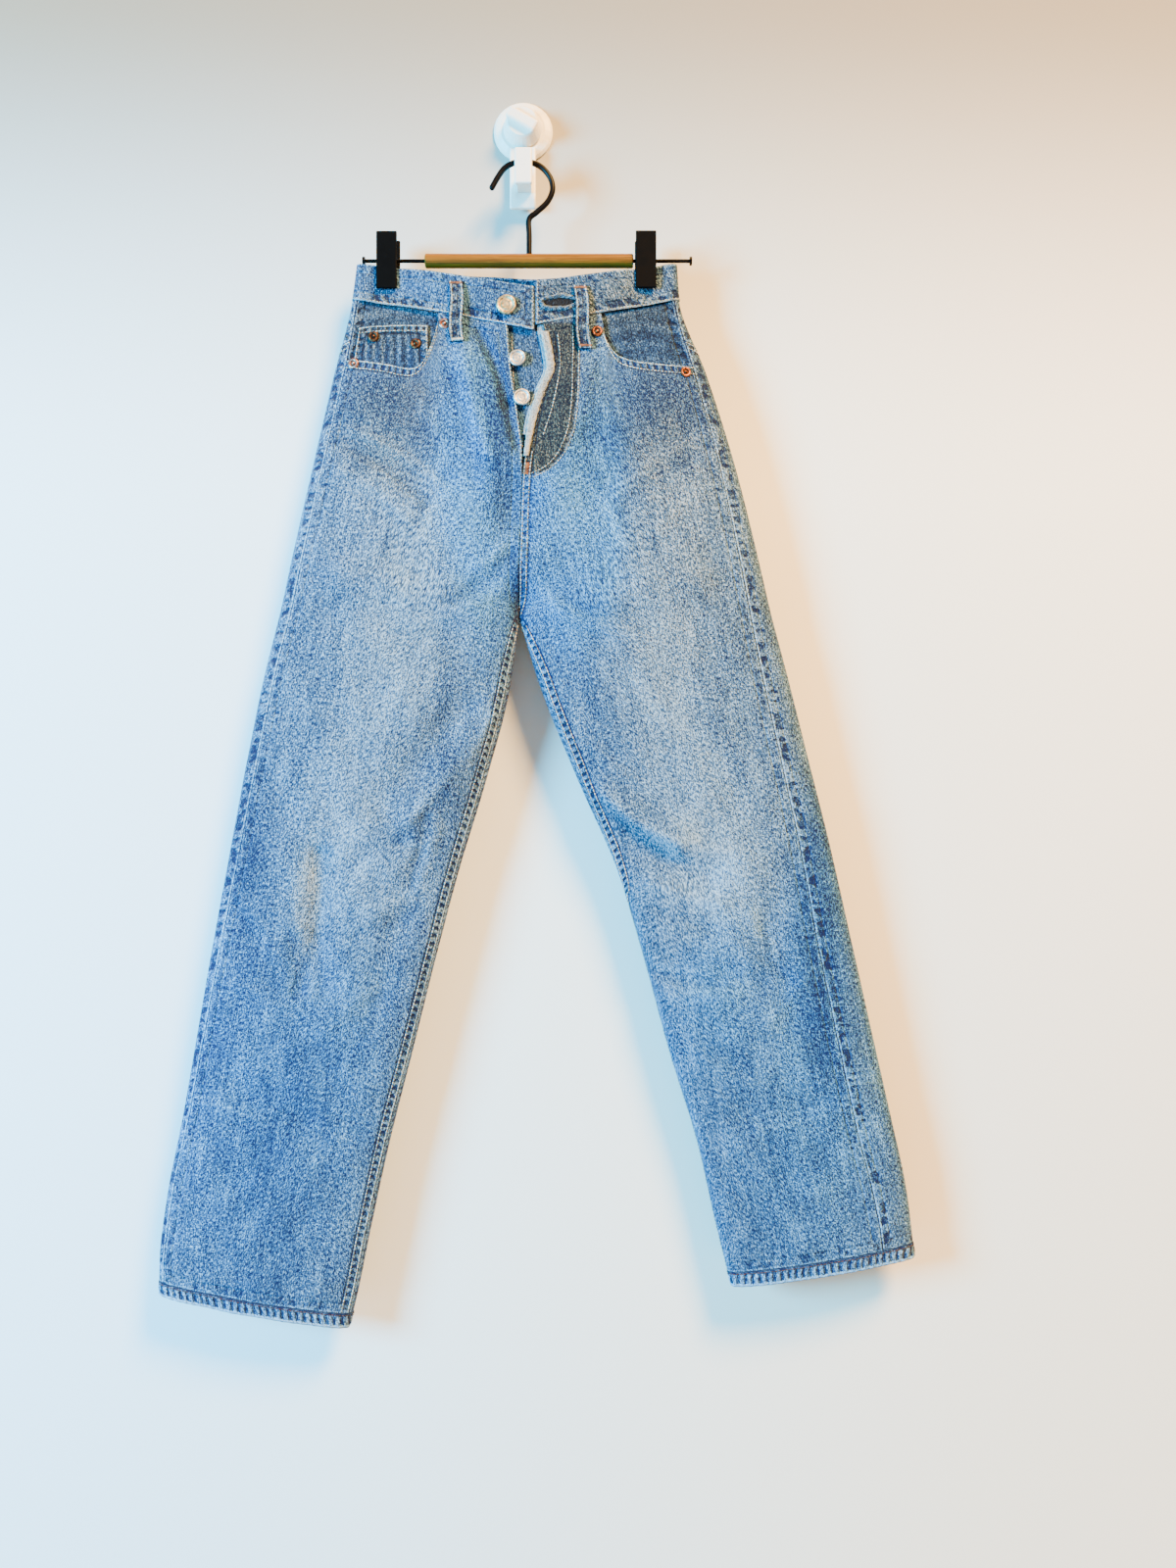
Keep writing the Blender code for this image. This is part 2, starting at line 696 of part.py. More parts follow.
def make_coin_pocket():
    """A small patch between the front and the right facing, its top edge in the mouth."""
    across = np.linspace(0.0, 1.0, FRONT_COLUMNS)[None, slice(*COIN_COLUMNS)]
    rows = front_rows("right")
    bottom = rows[rows < FACING_DEEP][-1]
    top = COIN_TOP + np.linspace(COIN_SLOPE, -COIN_SLOPE, across.shape[1])[None, :]
    level = top + (bottom - top) * np.linspace(0.0, 1.0, 6)[:, None]
    start, end = front_turns("right", level)
    turn = start * (1 - across) + end * across
    outer = skin("right", level, turn, WALL + LAYER_GAP)
    inner = skin("right", level, turn, WALL + LAYER_GAP + WALL)
    add_wall("coin_pocket", outer, inner, "denim_dark")


def locate(side, face, x, z):
    """The level and turn of a half's point at x and z, by repeated correction of z."""
    below = WAIST_Z - z
    sign = 1.0 if face == "front" else -1.0
    for _ in range(12):
        outer_x, _, inner_x = edges(side, below)
        across = np.clip((x - outer_x) / (inner_x - outer_x), 0.0, 1.0)
        turn = sign * np.arccos(1 - across * (1 - np.cos(closing_angle(below))))
        below = np.clip(below + skin(side, below, turn)[..., 2] - z, BAND_TOP, LEG_END[side])
    return below, turn


def cloth(face, x, z, inset=0.0):
    """The point of the whole front or back at x and z, at a depth of inset."""
    x, z = np.broadcast_arrays(np.asarray(x, float), np.asarray(z, float))
    below = {}
    depth = {}
    for side in ("right", "left"):
        below[side], turn = locate(side, face, x, z)
        depth[side] = skin(side, below[side], turn, inset)[..., 1]
    is_right = x < centre_x(below["right"])
    return np.stack([x, np.where(is_right, depth["right"], depth["left"]), z], axis=-1)


def add_patch(name, face, x, z, near, far, finish_name="denim"):
    """A wall over a grid of x and z, between two insets of the front or the back."""
    add_wall(name, cloth(face, x, z, near), cloth(face, x, z, far), finish_name)


def underlap_inset():
    return 2 * (WALL + UNDER_GAP)


def make_fly():
    """The underlap under both fronts, and the facing under the left front's edge."""
    level = np.linspace(*UNDERLAP_LEVELS, 10)[:, None]
    share = np.linspace(0.0, 1.0, 7)[None, :]
    middle = centre_x(level)
    right = smooth_curve(FLY, FLY_COLUMNS.index("right_edge"), level) * MM
    left = smooth_curve(FLY, FLY_COLUMNS.index("left_edge"), level) * MM
    x0, x1 = middle - right - UNDERLAP_BESIDE["right"], middle + left + UNDERLAP_BESIDE["left"]
    deep = underlap_inset()
    add_patch(
        "fly_underlap",
        "front",
        x0 + (x1 - x0) * share,
        WAIST_Z - level,
        deep,
        deep + WALL,
        "denim_dark",
    )
    level = np.linspace(*FLY_FACING_LEVELS, 8)[:, None]
    left = smooth_curve(FLY, FLY_COLUMNS.index("left_edge"), level) * MM
    x0, x1 = (centre_x(level) + left + edge for edge in FLY_FACING_EDGES)
    deep = WALL + UNDER_GAP
    add_patch(
        "fly_facing",
        "front",
        x0 + (x1 - x0) * share,
        WAIST_Z - level,
        deep,
        deep + WALL,
    )


def make_back_pocket(side):
    """A plain patch pocket: a rectangle that narrows downwards and ends in a point."""
    middle_x = POCKET_X[side]
    tilt = POCKET_TILT if side == "right" else -POCKET_TILT
    columns = np.linspace(-1.0, 1.0, 9)[None, :]
    rows = np.linspace(0.0, 1.0, 8)[:, None]
    wide = POCKET_WIDE / 2 * (1 - POCKET_TAPER * rows)
    tall = (POCKET_TALL - POCKET_POINT) + POCKET_POINT * (1 - np.abs(columns))
    x = middle_x + columns * wide
    z = WAIST_Z - POCKET_TOP - tall * rows + tilt * (x - middle_x)
    add_patch("back_pocket_" + side, "back", x, z, -POCKET_GAP - WALL, -POCKET_GAP)


def make_belt_loop(number, face, middle_x):
    """A strip over the waistband that arches off it between its two ends."""
    level = np.linspace(LOOP_TOP, LOOP_BOTTOM, 9)
    x = middle_x + np.array([-0.5, 0.0, 0.5])[None, :] * LOOP_WIDE
    middle = locate_z(face, middle_x, level)[:, None]
    arch = np.sin(np.linspace(0.0, math.pi, 9))[:, None] ** 0.7 * LOOP_ARCH
    under = BAND_PROUD + LAYER_GAP + arch
    outer = cloth(face, x, middle, -under - WALL)
    inner = cloth(face, x, middle, -under)
    add_wall("belt_loop_" + str(number), outer, inner)


def locate_z(face, x, level):
    """The z of each level of the front or back at one x."""
    side = "right" if x < centre_x(0.0) else "left"
    outer_x, _, inner_x = edges(side, level)
    across = (x - outer_x) / (inner_x - outer_x)
    turn = np.arccos(np.clip(1 - across * (1 - np.cos(closing_angle(level))), -1, 1))
    return skin(side, level, turn if face == "front" else -turn)[:, 2]


def turned(name, profile, finish_name, steps=16):
    """A turned piece: a profile of radius and height, down its outer side, round Z."""
    shape = bmesh.new()
    corners = [shape.verts.new((radius, 0.0, height)) for radius, height in profile]
    for start, end in zip(corners, corners[1:]):
        shape.edges.new((start, end))
    mesh = bpy.data.meshes.new(name)
    shape.to_mesh(mesh)
    shape.free()
    obj = add_object(name, mesh, finish_name)
    screw = obj.modifiers.new("turn", "SCREW")
    screw.steps = steps
    screw.render_steps = steps
    screw.use_merge_vertices = True
    screw.merge_threshold = 0.01 * MM
    screw.use_smooth_shade = True
    return obj


def stand_on(obj, point, normal):
    """Sets an object's origin at a point with its +Z along the normal."""
    turn = Vector(normal).to_track_quat("Z", "Y").to_matrix().to_4x4()
    obj.matrix_world = Matrix.Translation(Vector(point)) @ turn


def front_normal(x, z, inset):
    """The outward normal of the front, from points 3 mm either side."""
    near = 3 * MM
    across = cloth("front", x + near, z, inset) - cloth("front", x - near, z, inset)
    down = cloth("front", x, z - near, inset) - cloth("front", x, z + near, inset)
    normal = np.cross(across, -down)
    return normal / np.linalg.norm(normal)


def seat(x, z, inset, radius):
    """The point and normal that clear the cloth under a disc by one layer gap."""
    normal = front_normal(x, z, inset)
    centre = cloth("front", x, z, inset)
    angles = np.linspace(0.0, 2 * math.pi, 16, endpoint=False)
    rim = cloth("front", x + radius * np.cos(angles), z + radius * np.sin(angles), inset)
    height = max(0.0, float(np.max((rim - centre) @ normal)))
    return centre + normal * (height + LAYER_GAP + 0.1 * MM), normal


def cap_profile(radius, thick, dish):
    """A domed cap: flat underneath, a rounded rim, and a dished middle."""
    return (
        (0.0, thick - dish),
        (radius * 0.55, thick - dish),
        (radius * 0.7, thick),
        (radius * 0.92, thick * 0.85),
        (radius, thick * 0.45),
        (radius * 0.96, 0.0),
        (0.0, 0.0),
    )


def shank_profile(radius, thick, shank):
    """A button head on a shank whose foot is at height 0."""
    foot = 2.4 * MM
    return (
        (0.0, shank + thick * 0.8),
        (radius * 0.6, shank + thick * 0.8),
        (radius * 0.78, shank + thick),
        (radius * 0.95, shank + thick * 0.8),
        (radius, shank + thick * 0.4),
        (radius * 0.9, shank),
        (foot, shank),
        (foot, 0.0),
        (0.0, 0.0),
    )


def make_buttons():
    x, z = (value * MM for value in WAIST_BUTTON)
    point, normal = seat(x, z, -BAND_PROUD, BUTTON_SEAT)
    profile = shank_profile(WAIST_BUTTON_RADIUS, WAIST_BUTTON_THICK, WAIST_BUTTON_SHANK)
    stand_on(turned("waistband_button", profile, "pale_metal"), point, normal)
    deep = underlap_inset()
    for number, place in enumerate(FLY_BUTTONS, 1):
        x, z = (value * MM for value in place)
        point, normal = seat(x, z, deep, BUTTON_SEAT)
        profile = shank_profile(FLY_BUTTON_RADIUS, FLY_BUTTON_THICK, deep + FLY_BUTTON_PROUD)
        button = turned("fly_button_" + str(number), profile, "pale_metal")
        stand_on(button, point, normal)


def make_rivets():
    insets = {"front_right": 0.0, "front_left": 0.0, "side_right": 0.0, "coin_pocket": WALL + LAYER_GAP}
    for number, (carrier, x, z) in enumerate(RIVETS, 1):
        point, normal = seat(x * MM, z * MM, insets[carrier], RIVET_RADIUS)
        profile = cap_profile(RIVET_RADIUS, RIVET_THICK, RIVET_DISH)
        stand_on(turned("rivet_" + str(number), profile, "copper", 12), point, normal)


def along_x(obj, x, y, z):
    obj.matrix_world = Matrix.Translation((x, y, z)) @ Matrix.Rotation(math.pi / 2, 4, "Y")


def make_bar():
    """A wooden bar bored lengthwise for the rod."""
    start, end = BAR_ENDS
    bore = ROD_RADIUS + LAYER_GAP
    edge = 0.8 * MM
    long = end - start
    profile = (
        (bore, long),
        (BAR_RADIUS - edge, long),
        (BAR_RADIUS, long - edge),
        (BAR_RADIUS, edge),
        (BAR_RADIUS - edge, 0.0),
        (bore, 0.0),
        (bore, long),
    )
    bar = turned("hanger_bar", profile, "wood", 20)
    along_x(bar, start, MID_Y, HANGER_Z)


def make_rod():
    """A thin rod through the bar with a flat cap on each end."""
    start, end = ROD_ENDS
    long = end - start
    profile = (
        (0.0, long),
        (ROD_CAP_RADIUS, long),
        (ROD_CAP_RADIUS, long - ROD_CAP_WIDE),
        (ROD_RADIUS, long - ROD_CAP_WIDE),
        (ROD_RADIUS, ROD_CAP_WIDE),
        (ROD_CAP_RADIUS, ROD_CAP_WIDE),
        (ROD_CAP_RADIUS, 0.0),
        (0.0, 0.0),
    )
    rod = turned("hanger_rod", profile, "black_metal", 12)
    along_x(rod, start, MID_Y, HANGER_Z)


def smooth_route(points, steps):
    """Points along a smooth curve through the given ones, with tangents from neighbours."""
    points = np.array(points)
    padded = np.concatenate([[2 * points[0] - points[1]], points, [2 * points[-1] - points[-2]]])
    route = []
    for before, start, end, after in zip(padded, padded[1:], padded[2:], padded[3:]):
        for t in np.linspace(0.0, 1.0, steps, endpoint=False):
            lead, trail = (end - before) / 2, (after - start) / 2
            route.append(
                (2 * t**3 - 3 * t**2 + 1) * start
                + (t**3 - 2 * t**2 + t) * lead
                + (3 * t**2 - 2 * t**3) * end
                + (t**3 - t**2) * trail
            )
    route.append(points[-1])
    return route


def make_wire():
    """The wire hook, from the top of the bar over the wall hook's bridge."""
    route = smooth_route([(x * MM, MID_Y, z * MM) for x, z in WIRE_ROUTE], 2)
    curve = bpy.data.curves.new("hanger_hook", "CURVE")
    curve.dimensions = "3D"
    curve.bevel_depth = WIRE_RADIUS
    curve.bevel_resolution = 2
    curve.use_fill_caps = True
    spline = curve.splines.new("POLY")
    spline.points.add(len(route) - 1)
    for point, place in zip(spline.points, route):
        point.co = (*place, 1.0)
    add_object("hanger_hook", curve, "black_metal")


def box_mesh(name, low, high, edge=0.0):
    shape = bmesh.new()
    bmesh.ops.create_cube(shape, size=1.0)
    low, high = Vector(low), Vector(high)
    size = high - low
    bmesh.ops.scale(shape, vec=size, verts=shape.verts)
    bmesh.ops.translate(shape, vec=(low + high) / 2, verts=shape.verts)
    if edge:
        bmesh.ops.bevel(shape, geom=shape.edges[:], offset=edge, segments=2, affect="EDGES", profile=0.5)
    mesh = bpy.data.meshes.new(name)
    shape.to_mesh(mesh)
    shape.free()
    return mesh


def add_helper(name, mesh):
    helper = bpy.data.objects.new(name, mesh)
    helper.display_type = "WIRE"
    helper.hide_render = True
    bpy.data.collections["cutters"].objects.link(helper)
    return helper


def combine(obj, other, operation):
    modifier = obj.modifiers.new(operation.lower(), "BOOLEAN")
    modifier.operation = operation
    modifier.object = other


def clip_reach(face, middle_x):
    """How far the waistband stands from the middle plane under a clip's jaw."""
    x = middle_x + np.linspace(-0.5, 0.5, 7)[None, :] * CLIP_WIDE
    z = np.linspace(CLIP_BOTTOM, CLIP_BOTTOM + CLIP_JAW_TALL, 7)[:, None]
    y = cloth(face, x, z, -BAND_PROUD)[..., 1]
    return float(np.max(np.abs(y - MID_Y)))


def make_clip(side):
    """Two jaw plates on the waistband. The back one's block rides on the rod."""
    middle = CLIP_X[side]
    half = CLIP_WIDE / 2
    front = MID_Y - clip_reach("front", middle) - CLIP_SEAT
    back = MID_Y + clip_reach("back", middle) + CLIP_SEAT
    low, high = (middle - half, front - CLIP_PLATE, CLIP_BOTTOM), (middle + half, front, CLIP_TOP)
    add_object("clip_" + side + "_front", box_mesh("jaw", low, high, CLIP_EDGE), "black_plastic")
    low, high = (middle - half, back, CLIP_BOTTOM), (middle + half, back + CLIP_PLATE, CLIP_TOP)
    jaw = add_object("clip_" + side + "_back", box_mesh("jaw", low, high, CLIP_EDGE), "black_plastic")
    wide, tall = CLIP_BLOCK
    low = (middle - wide / 2, front + LAYER_GAP, HANGER_Z - tall / 2)
    high = (middle + wide / 2, back + CLIP_PLATE / 2, HANGER_Z + tall / 2)
    combine(jaw, add_helper("block_" + side, box_mesh("block", low, high)), "UNION")
    shape = bmesh.new()
    bore = ROD_RADIUS + LAYER_GAP
    bmesh.ops.create_cone(shape, cap_ends=True, segments=16, radius1=bore, radius2=bore, depth=wide * 2)
    mesh = bpy.data.meshes.new("bore")
    shape.to_mesh(mesh)
    shape.free()
    cutter = add_helper("bore_" + side, mesh)
    along_x(cutter, middle, MID_Y, HANGER_Z)
    combine(jaw, cutter, "DIFFERENCE")


def facing_wall(obj, y, x=0.0, z=0.0):
    """Turns a piece so that its own +Z looks out from the wall."""
    obj.matrix_world = Matrix.Translation((x, y, z)) @ Matrix.Rotation(math.pi / 2, 4, "X")


def make_wall_hook():
    deep = DISC_DEEP
    disc = turned(
        "wall_disc",
        (
            (0.0, deep),
            (DISC_RADIUS * 0.75, deep),
            (DISC_RADIUS * 0.93, deep * 0.6),
            (DISC_RADIUS, deep * 0.25),
            (DISC_RADIUS, 0.0),
            (0.0, 0.0),
        ),
        "white_plastic",
        28,
    )
    facing_wall(disc, 0.0)
    knob = turned(
        "wall_knob",
        (
            (0.0, KNOB_DEEP),
            (KNOB_FACE_RADIUS - 1.2 * MM, KNOB_DEEP),
            (KNOB_FACE_RADIUS, KNOB_DEEP - 1.2 * MM),
            (KNOB_RADIUS, 2.0 * MM),
            (KNOB_RADIUS - 1.0 * MM, 0.0),
            (0.0, 0.0),
        ),
        "white_plastic",
        28,
    )
    facing_wall(knob, -deep - LAYER_GAP)
    front = -deep - LAYER_GAP - KNOB_DEEP - LAYER_GAP
    half_long, half_wide = LEVER_LONG / 2, LEVER_WIDE / 2
    mesh = box_mesh(
        "lever",
        (-half_long, front - LEVER_DEEP, -half_wide),
        (half_long, front, half_wide),
        LEVER_EDGE,
    )
    lever = add_object("wall_lever", mesh, "white_plastic")
    lever.matrix_world = Matrix.Rotation(-LEVER_TILT, 4, "Y")
    plate_back = -deep - LAYER_GAP
    plate_front = plate_back - ARM_PLATE
    half = ARM_WIDE / 2
    mesh = box_mesh("arm", (-half, plate_front, ARM_BOTTOM), (half, plate_back, ARM_TOP), ARM_EDGE)
    arm = add_object("wall_arm", mesh, "white_plastic")
    half = LIP_WIDE / 2
    middle = LIP_X
    low = (middle - half, LIP_BACK - LIP_DEEP, LIP_BOTTOM)
    high = (middle + half, LIP_BACK, LIP_TOP)
    combine(arm, add_helper("lip", box_mesh("lip", low, high, ARM_EDGE)), "UNION")
    low = (middle - half * 0.8, LIP_BACK - LIP_DEEP / 2, BRIDGE_BOTTOM)
    high = (middle + half * 0.8, plate_back - ARM_PLATE / 2, BRIDGE_TOP)
    combine(arm, add_helper("bridge", box_mesh("bridge", low, high)), "UNION")


def make_jeans():
    for side in ("right", "left"):
        make_front(side)
        make_back(side)
        make_yoke(side)
        make_hem(side)
        make_facing(side)
    make_coin_pocket()
    make_waistband()
    make_fly()
    make_back_pocket("right")
    make_back_pocket("left")
    for number, (face, x) in enumerate(LOOPS, 1):
        make_belt_loop(number, face, x * MM)
    make_buttons()
    make_rivets()


def main():
    clear_scene()
    new_collection("jeans_on_hanger")
    new_collection("cutters", hidden=True)
    make_jeans()
    make_bar()
    make_rod()
    make_wire()
    make_clip("right")
    make_clip("left")
    make_wall_hook()


main()
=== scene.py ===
"""The look of a pair of washed jeans, clipped to a hanger on a wall hook.

Metres, +Z up. The wall is the plane y = 0 and the garment's front looks along -Y.
"Right" and "left" are the wearer's.
"""

import math

import bpy
import numpy as np
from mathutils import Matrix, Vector


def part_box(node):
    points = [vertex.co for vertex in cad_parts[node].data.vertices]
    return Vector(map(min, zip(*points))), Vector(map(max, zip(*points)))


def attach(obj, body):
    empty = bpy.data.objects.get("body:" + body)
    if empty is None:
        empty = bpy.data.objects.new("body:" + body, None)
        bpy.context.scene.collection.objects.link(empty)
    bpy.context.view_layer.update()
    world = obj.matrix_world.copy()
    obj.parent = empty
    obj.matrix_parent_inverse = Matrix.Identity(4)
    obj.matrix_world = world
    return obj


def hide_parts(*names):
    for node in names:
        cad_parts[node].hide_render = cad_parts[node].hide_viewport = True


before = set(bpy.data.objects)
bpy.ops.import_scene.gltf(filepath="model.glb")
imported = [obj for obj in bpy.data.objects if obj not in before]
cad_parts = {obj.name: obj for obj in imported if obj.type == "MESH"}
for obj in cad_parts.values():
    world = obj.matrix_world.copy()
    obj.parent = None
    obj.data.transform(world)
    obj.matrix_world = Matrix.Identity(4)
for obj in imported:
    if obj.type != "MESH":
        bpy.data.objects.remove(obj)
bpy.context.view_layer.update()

MM = 0.001

# Cloth, with the sizes and tables of the part's own source.
WALL = 1.2 * MM
BAND_WALL = 2.4 * MM
BAND_PROUD = 0.6 * MM
SEAM_GAP = 0.06 * MM
LAYER_GAP = 0.3 * MM
UNDER_GAP = 0.8 * MM
MID_Y = -30.0 * MM
WAIST_Z = -196.5 * MM
NOSE = 0.75
BAND_TOP = -38.0 * MM
HIP = 133.0 * MM
FORK = 248.0 * MM
HEM_TALL = 13.0 * MM
HEM_WALL = 2.2 * MM
HEM_PROUD = 0.4 * MM
LEG_END = {"right": 872.0 * MM, "left": 835.7 * MM}
YOKE_SIDE = 32.0 * MM
YOKE_CENTRE = 62.0 * MM
FACING_DEEP = 98.0 * MM
COIN_TOP = 17.0 * MM
COIN_SLOPE = 5.0 * MM
COIN_SHARES = (0.066, 0.6)
FACING_SHARE = 0.8
LOOP_WIDE = 12.0 * MM
LOOP_ARCH = 2.8 * MM
POCKET_WIDE = 132.0 * MM
POCKET_TALL = 140.0 * MM
POCKET_POINT = 22.0 * MM
POCKET_GAP = 0.5 * MM

OUTER_COLUMNS = ("below", "x", "z")
OUTER_EDGE = {
    "right": (
        (-38, -144.4, -132.9),
        (0, -148.7, -165),
        (58, -165.2, -231.8),
        (133, -184.2, -313.9),
        (205, -201, -388.2),
        (248, -211.4, -436.6),
        (310, -226.1, -495.4),
        (390, -241.6, -570.6),
        (470, -255.9, -646.7),
        (550, -270, -722.7),
        (630, -283.7, -800.5),
        (710, -297.2, -878.3),
        (790, -312.5, -956.9),
        (840, -318.6, -1008.8),
        (872, -319, -1039.1),
    ),
    "left": (
        (-38, 136.5, -132.9),
        (0, 139.1, -165.3),
        (58, 163.7, -231.8),
        (133, 189.2, -313.9),
        (205, 207.8, -388.2),
        (248, 219, -436.6),
        (310, 234.4, -495.4),
        (390, 253.3, -570.6),
        (470, 271.7, -644.1),
        (550, 288.9, -720.1),
        (630, 306.5, -798.8),
        (710, 324.2, -877.5),
        (780, 339.5, -949.2),
        (835.7, 346.5, -1006.2),
    ),
}
CENTRE_COLUMNS = ("below", "x")
CENTRE_LINE = ((-38, 12.7), (0, 12.7), (58, 8.7), (133, 2), (205, -0.8), (248, -1.8))
INNER_EDGE = {
    "right": (
        (248, -1.8),
        (310, -10.2),
        (390, -30.8),
        (470, -54.9),
        (550, -76.1),
        (630, -96),
        (710, -116.2),
        (790, -133.6),
        (840, -143.7),
        (872, -151.3),
    ),
    "left": (
        (248, -1.8),
        (310, 17.2),
        (390, 49.5),
        (470, 84.5),
        (550, 108.8),
        (630, 130.6),
        (710, 155.2),
        (780, 171.1),
        (835.7, 184.9),
    ),
}
DEPTH_COLUMNS = ("below", "front", "back", "closing", "back_lift", "left_lift")
DEPTHS = (
    (-38, 16, 17, 90, 20, 5),
    (0, 16, 18, 90, 18, 5),
    (58, 20, 22, 90, 10, 2),
    (133, 24, 24, 93, 4, 0),
    (205, 24, 24, 125, 0, 0),
    (248, 23, 23, 180, 0, 0),
    (310, 22, 22, 180, 0, 0),
    (390, 20, 21, 180, 0, 0),
    (550, 18, 18, 180, 0, 0),
    (710, 16, 15.5, 180, 0, 0),
    (880, 14, 13.5, 180, 0, 0),
)
SEAM_COLUMNS = ("below", "outseam", "inseam")
SEAMS = {
    "right": (
        (-38, 4.3, 0),
        (0, 4.5, 0),
        (58, 10, 0),
        (248, 12, 0),
        (310, 12, 3),
        (550, 9.5, 2),
        (710, 7, 3),
        (872, 5.5, 3),
    ),
    "left": (
        (-38, 3, 0),
        (0, 4, 0),
        (58, 11, 0),
        (133, 15, 0),
        (248, 20, 0),
        (310, 24, 5),
        (390, 26, 4),
        (470, 28, 1),
        (550, 31, -3),
        (710, 33, -4),
        (836, 28, -4),
    ),
}
FLY_COLUMNS = ("below", "right_edge", "left_edge")
FLY = (
    (0, 24, 6.5),
    (20, 21.5, 11.5),
    (34, 19, 14),
    (52, 14.5, 8.5),
    (81, 7.5, 2.2),
    (103, 2.5, 1),
    (125, 0, 0),
)
MOUTHS = {
    "right": (
        (-71.4, -180),
        (-72, -190),
        (-76.5, -206),
        (-82.5, -220.5),
        (-91, -228.5),
        (-103, -228),
        (-118, -224.5),
        (-142.5, -220.5),
        (-175, -218),
    ),
    "left": (
        (70.7, -180),
        (71, -194),
        (75, -206),
        (84.4, -217.3),
        (100, -222.5),
        (120, -224.5),
        (142, -225.5),
        (175, -226),
    ),
}

# The largest folds, which the part's solids have too, by face: the two ends (x, z), the
# height (a trough is negative) and the half width, in millimetres.
FOLDS = {
    "front": (
        (-118, -115, -117, -156, -8, 20),
        (109, -115, 110, -156, -8, 20),
        (-46, -232, -14, -318, 5, 22),
        (-10, -330, -4, -372, -5, 16),
        (48, -250, 32, -330, 4, 18),
        (-150, -285, -70, -330, -3, 15),
        (150, -290, 70, -345, -3, 15),
        (-40, -440, -150, -410, 3, 18),
        (40, -440, 150, -415, 3, 18),
        (-22, -530, -94, -625, 4, 16),
        (-50, -530, -120, -610, -4, 16),
        (-175, -655, -178, -765, -3.5, 14),
        (-100, -690, -128, -790, -3, 13),
        (-240, -860, -190, -880, -2.5, 16),
        (73, -600, 136, -642, 5, 15),
        (100, -645, 160, -672, -4, 15),
        (118, -752, 205, -762, -4, 13),
        (215, -700, 235, -800, -3, 16),
        (200, -880, 260, -868, -2.5, 16),
    ),
    "back": (
        (-118, -115, -117, -156, -8, 20),
        (109, -115, 110, -156, -8, 20),
        (-3, -290, -3, -370, -5, 15),
        (-30, -440, -170, -425, -4, 16),
        (30, -440, 175, -425, -4, 16),
        (-60, -480, -180, -462, 3, 15),
        (60, -480, 180, -462, 3, 15),
        (-95, -700, -235, -722, -3.5, 14),
        (-110, -745, -240, -752, -3, 13),
        (120, -710, 260, -700, -3.5, 14),
        (135, -752, 270, -745, -3, 13),
    ),
}

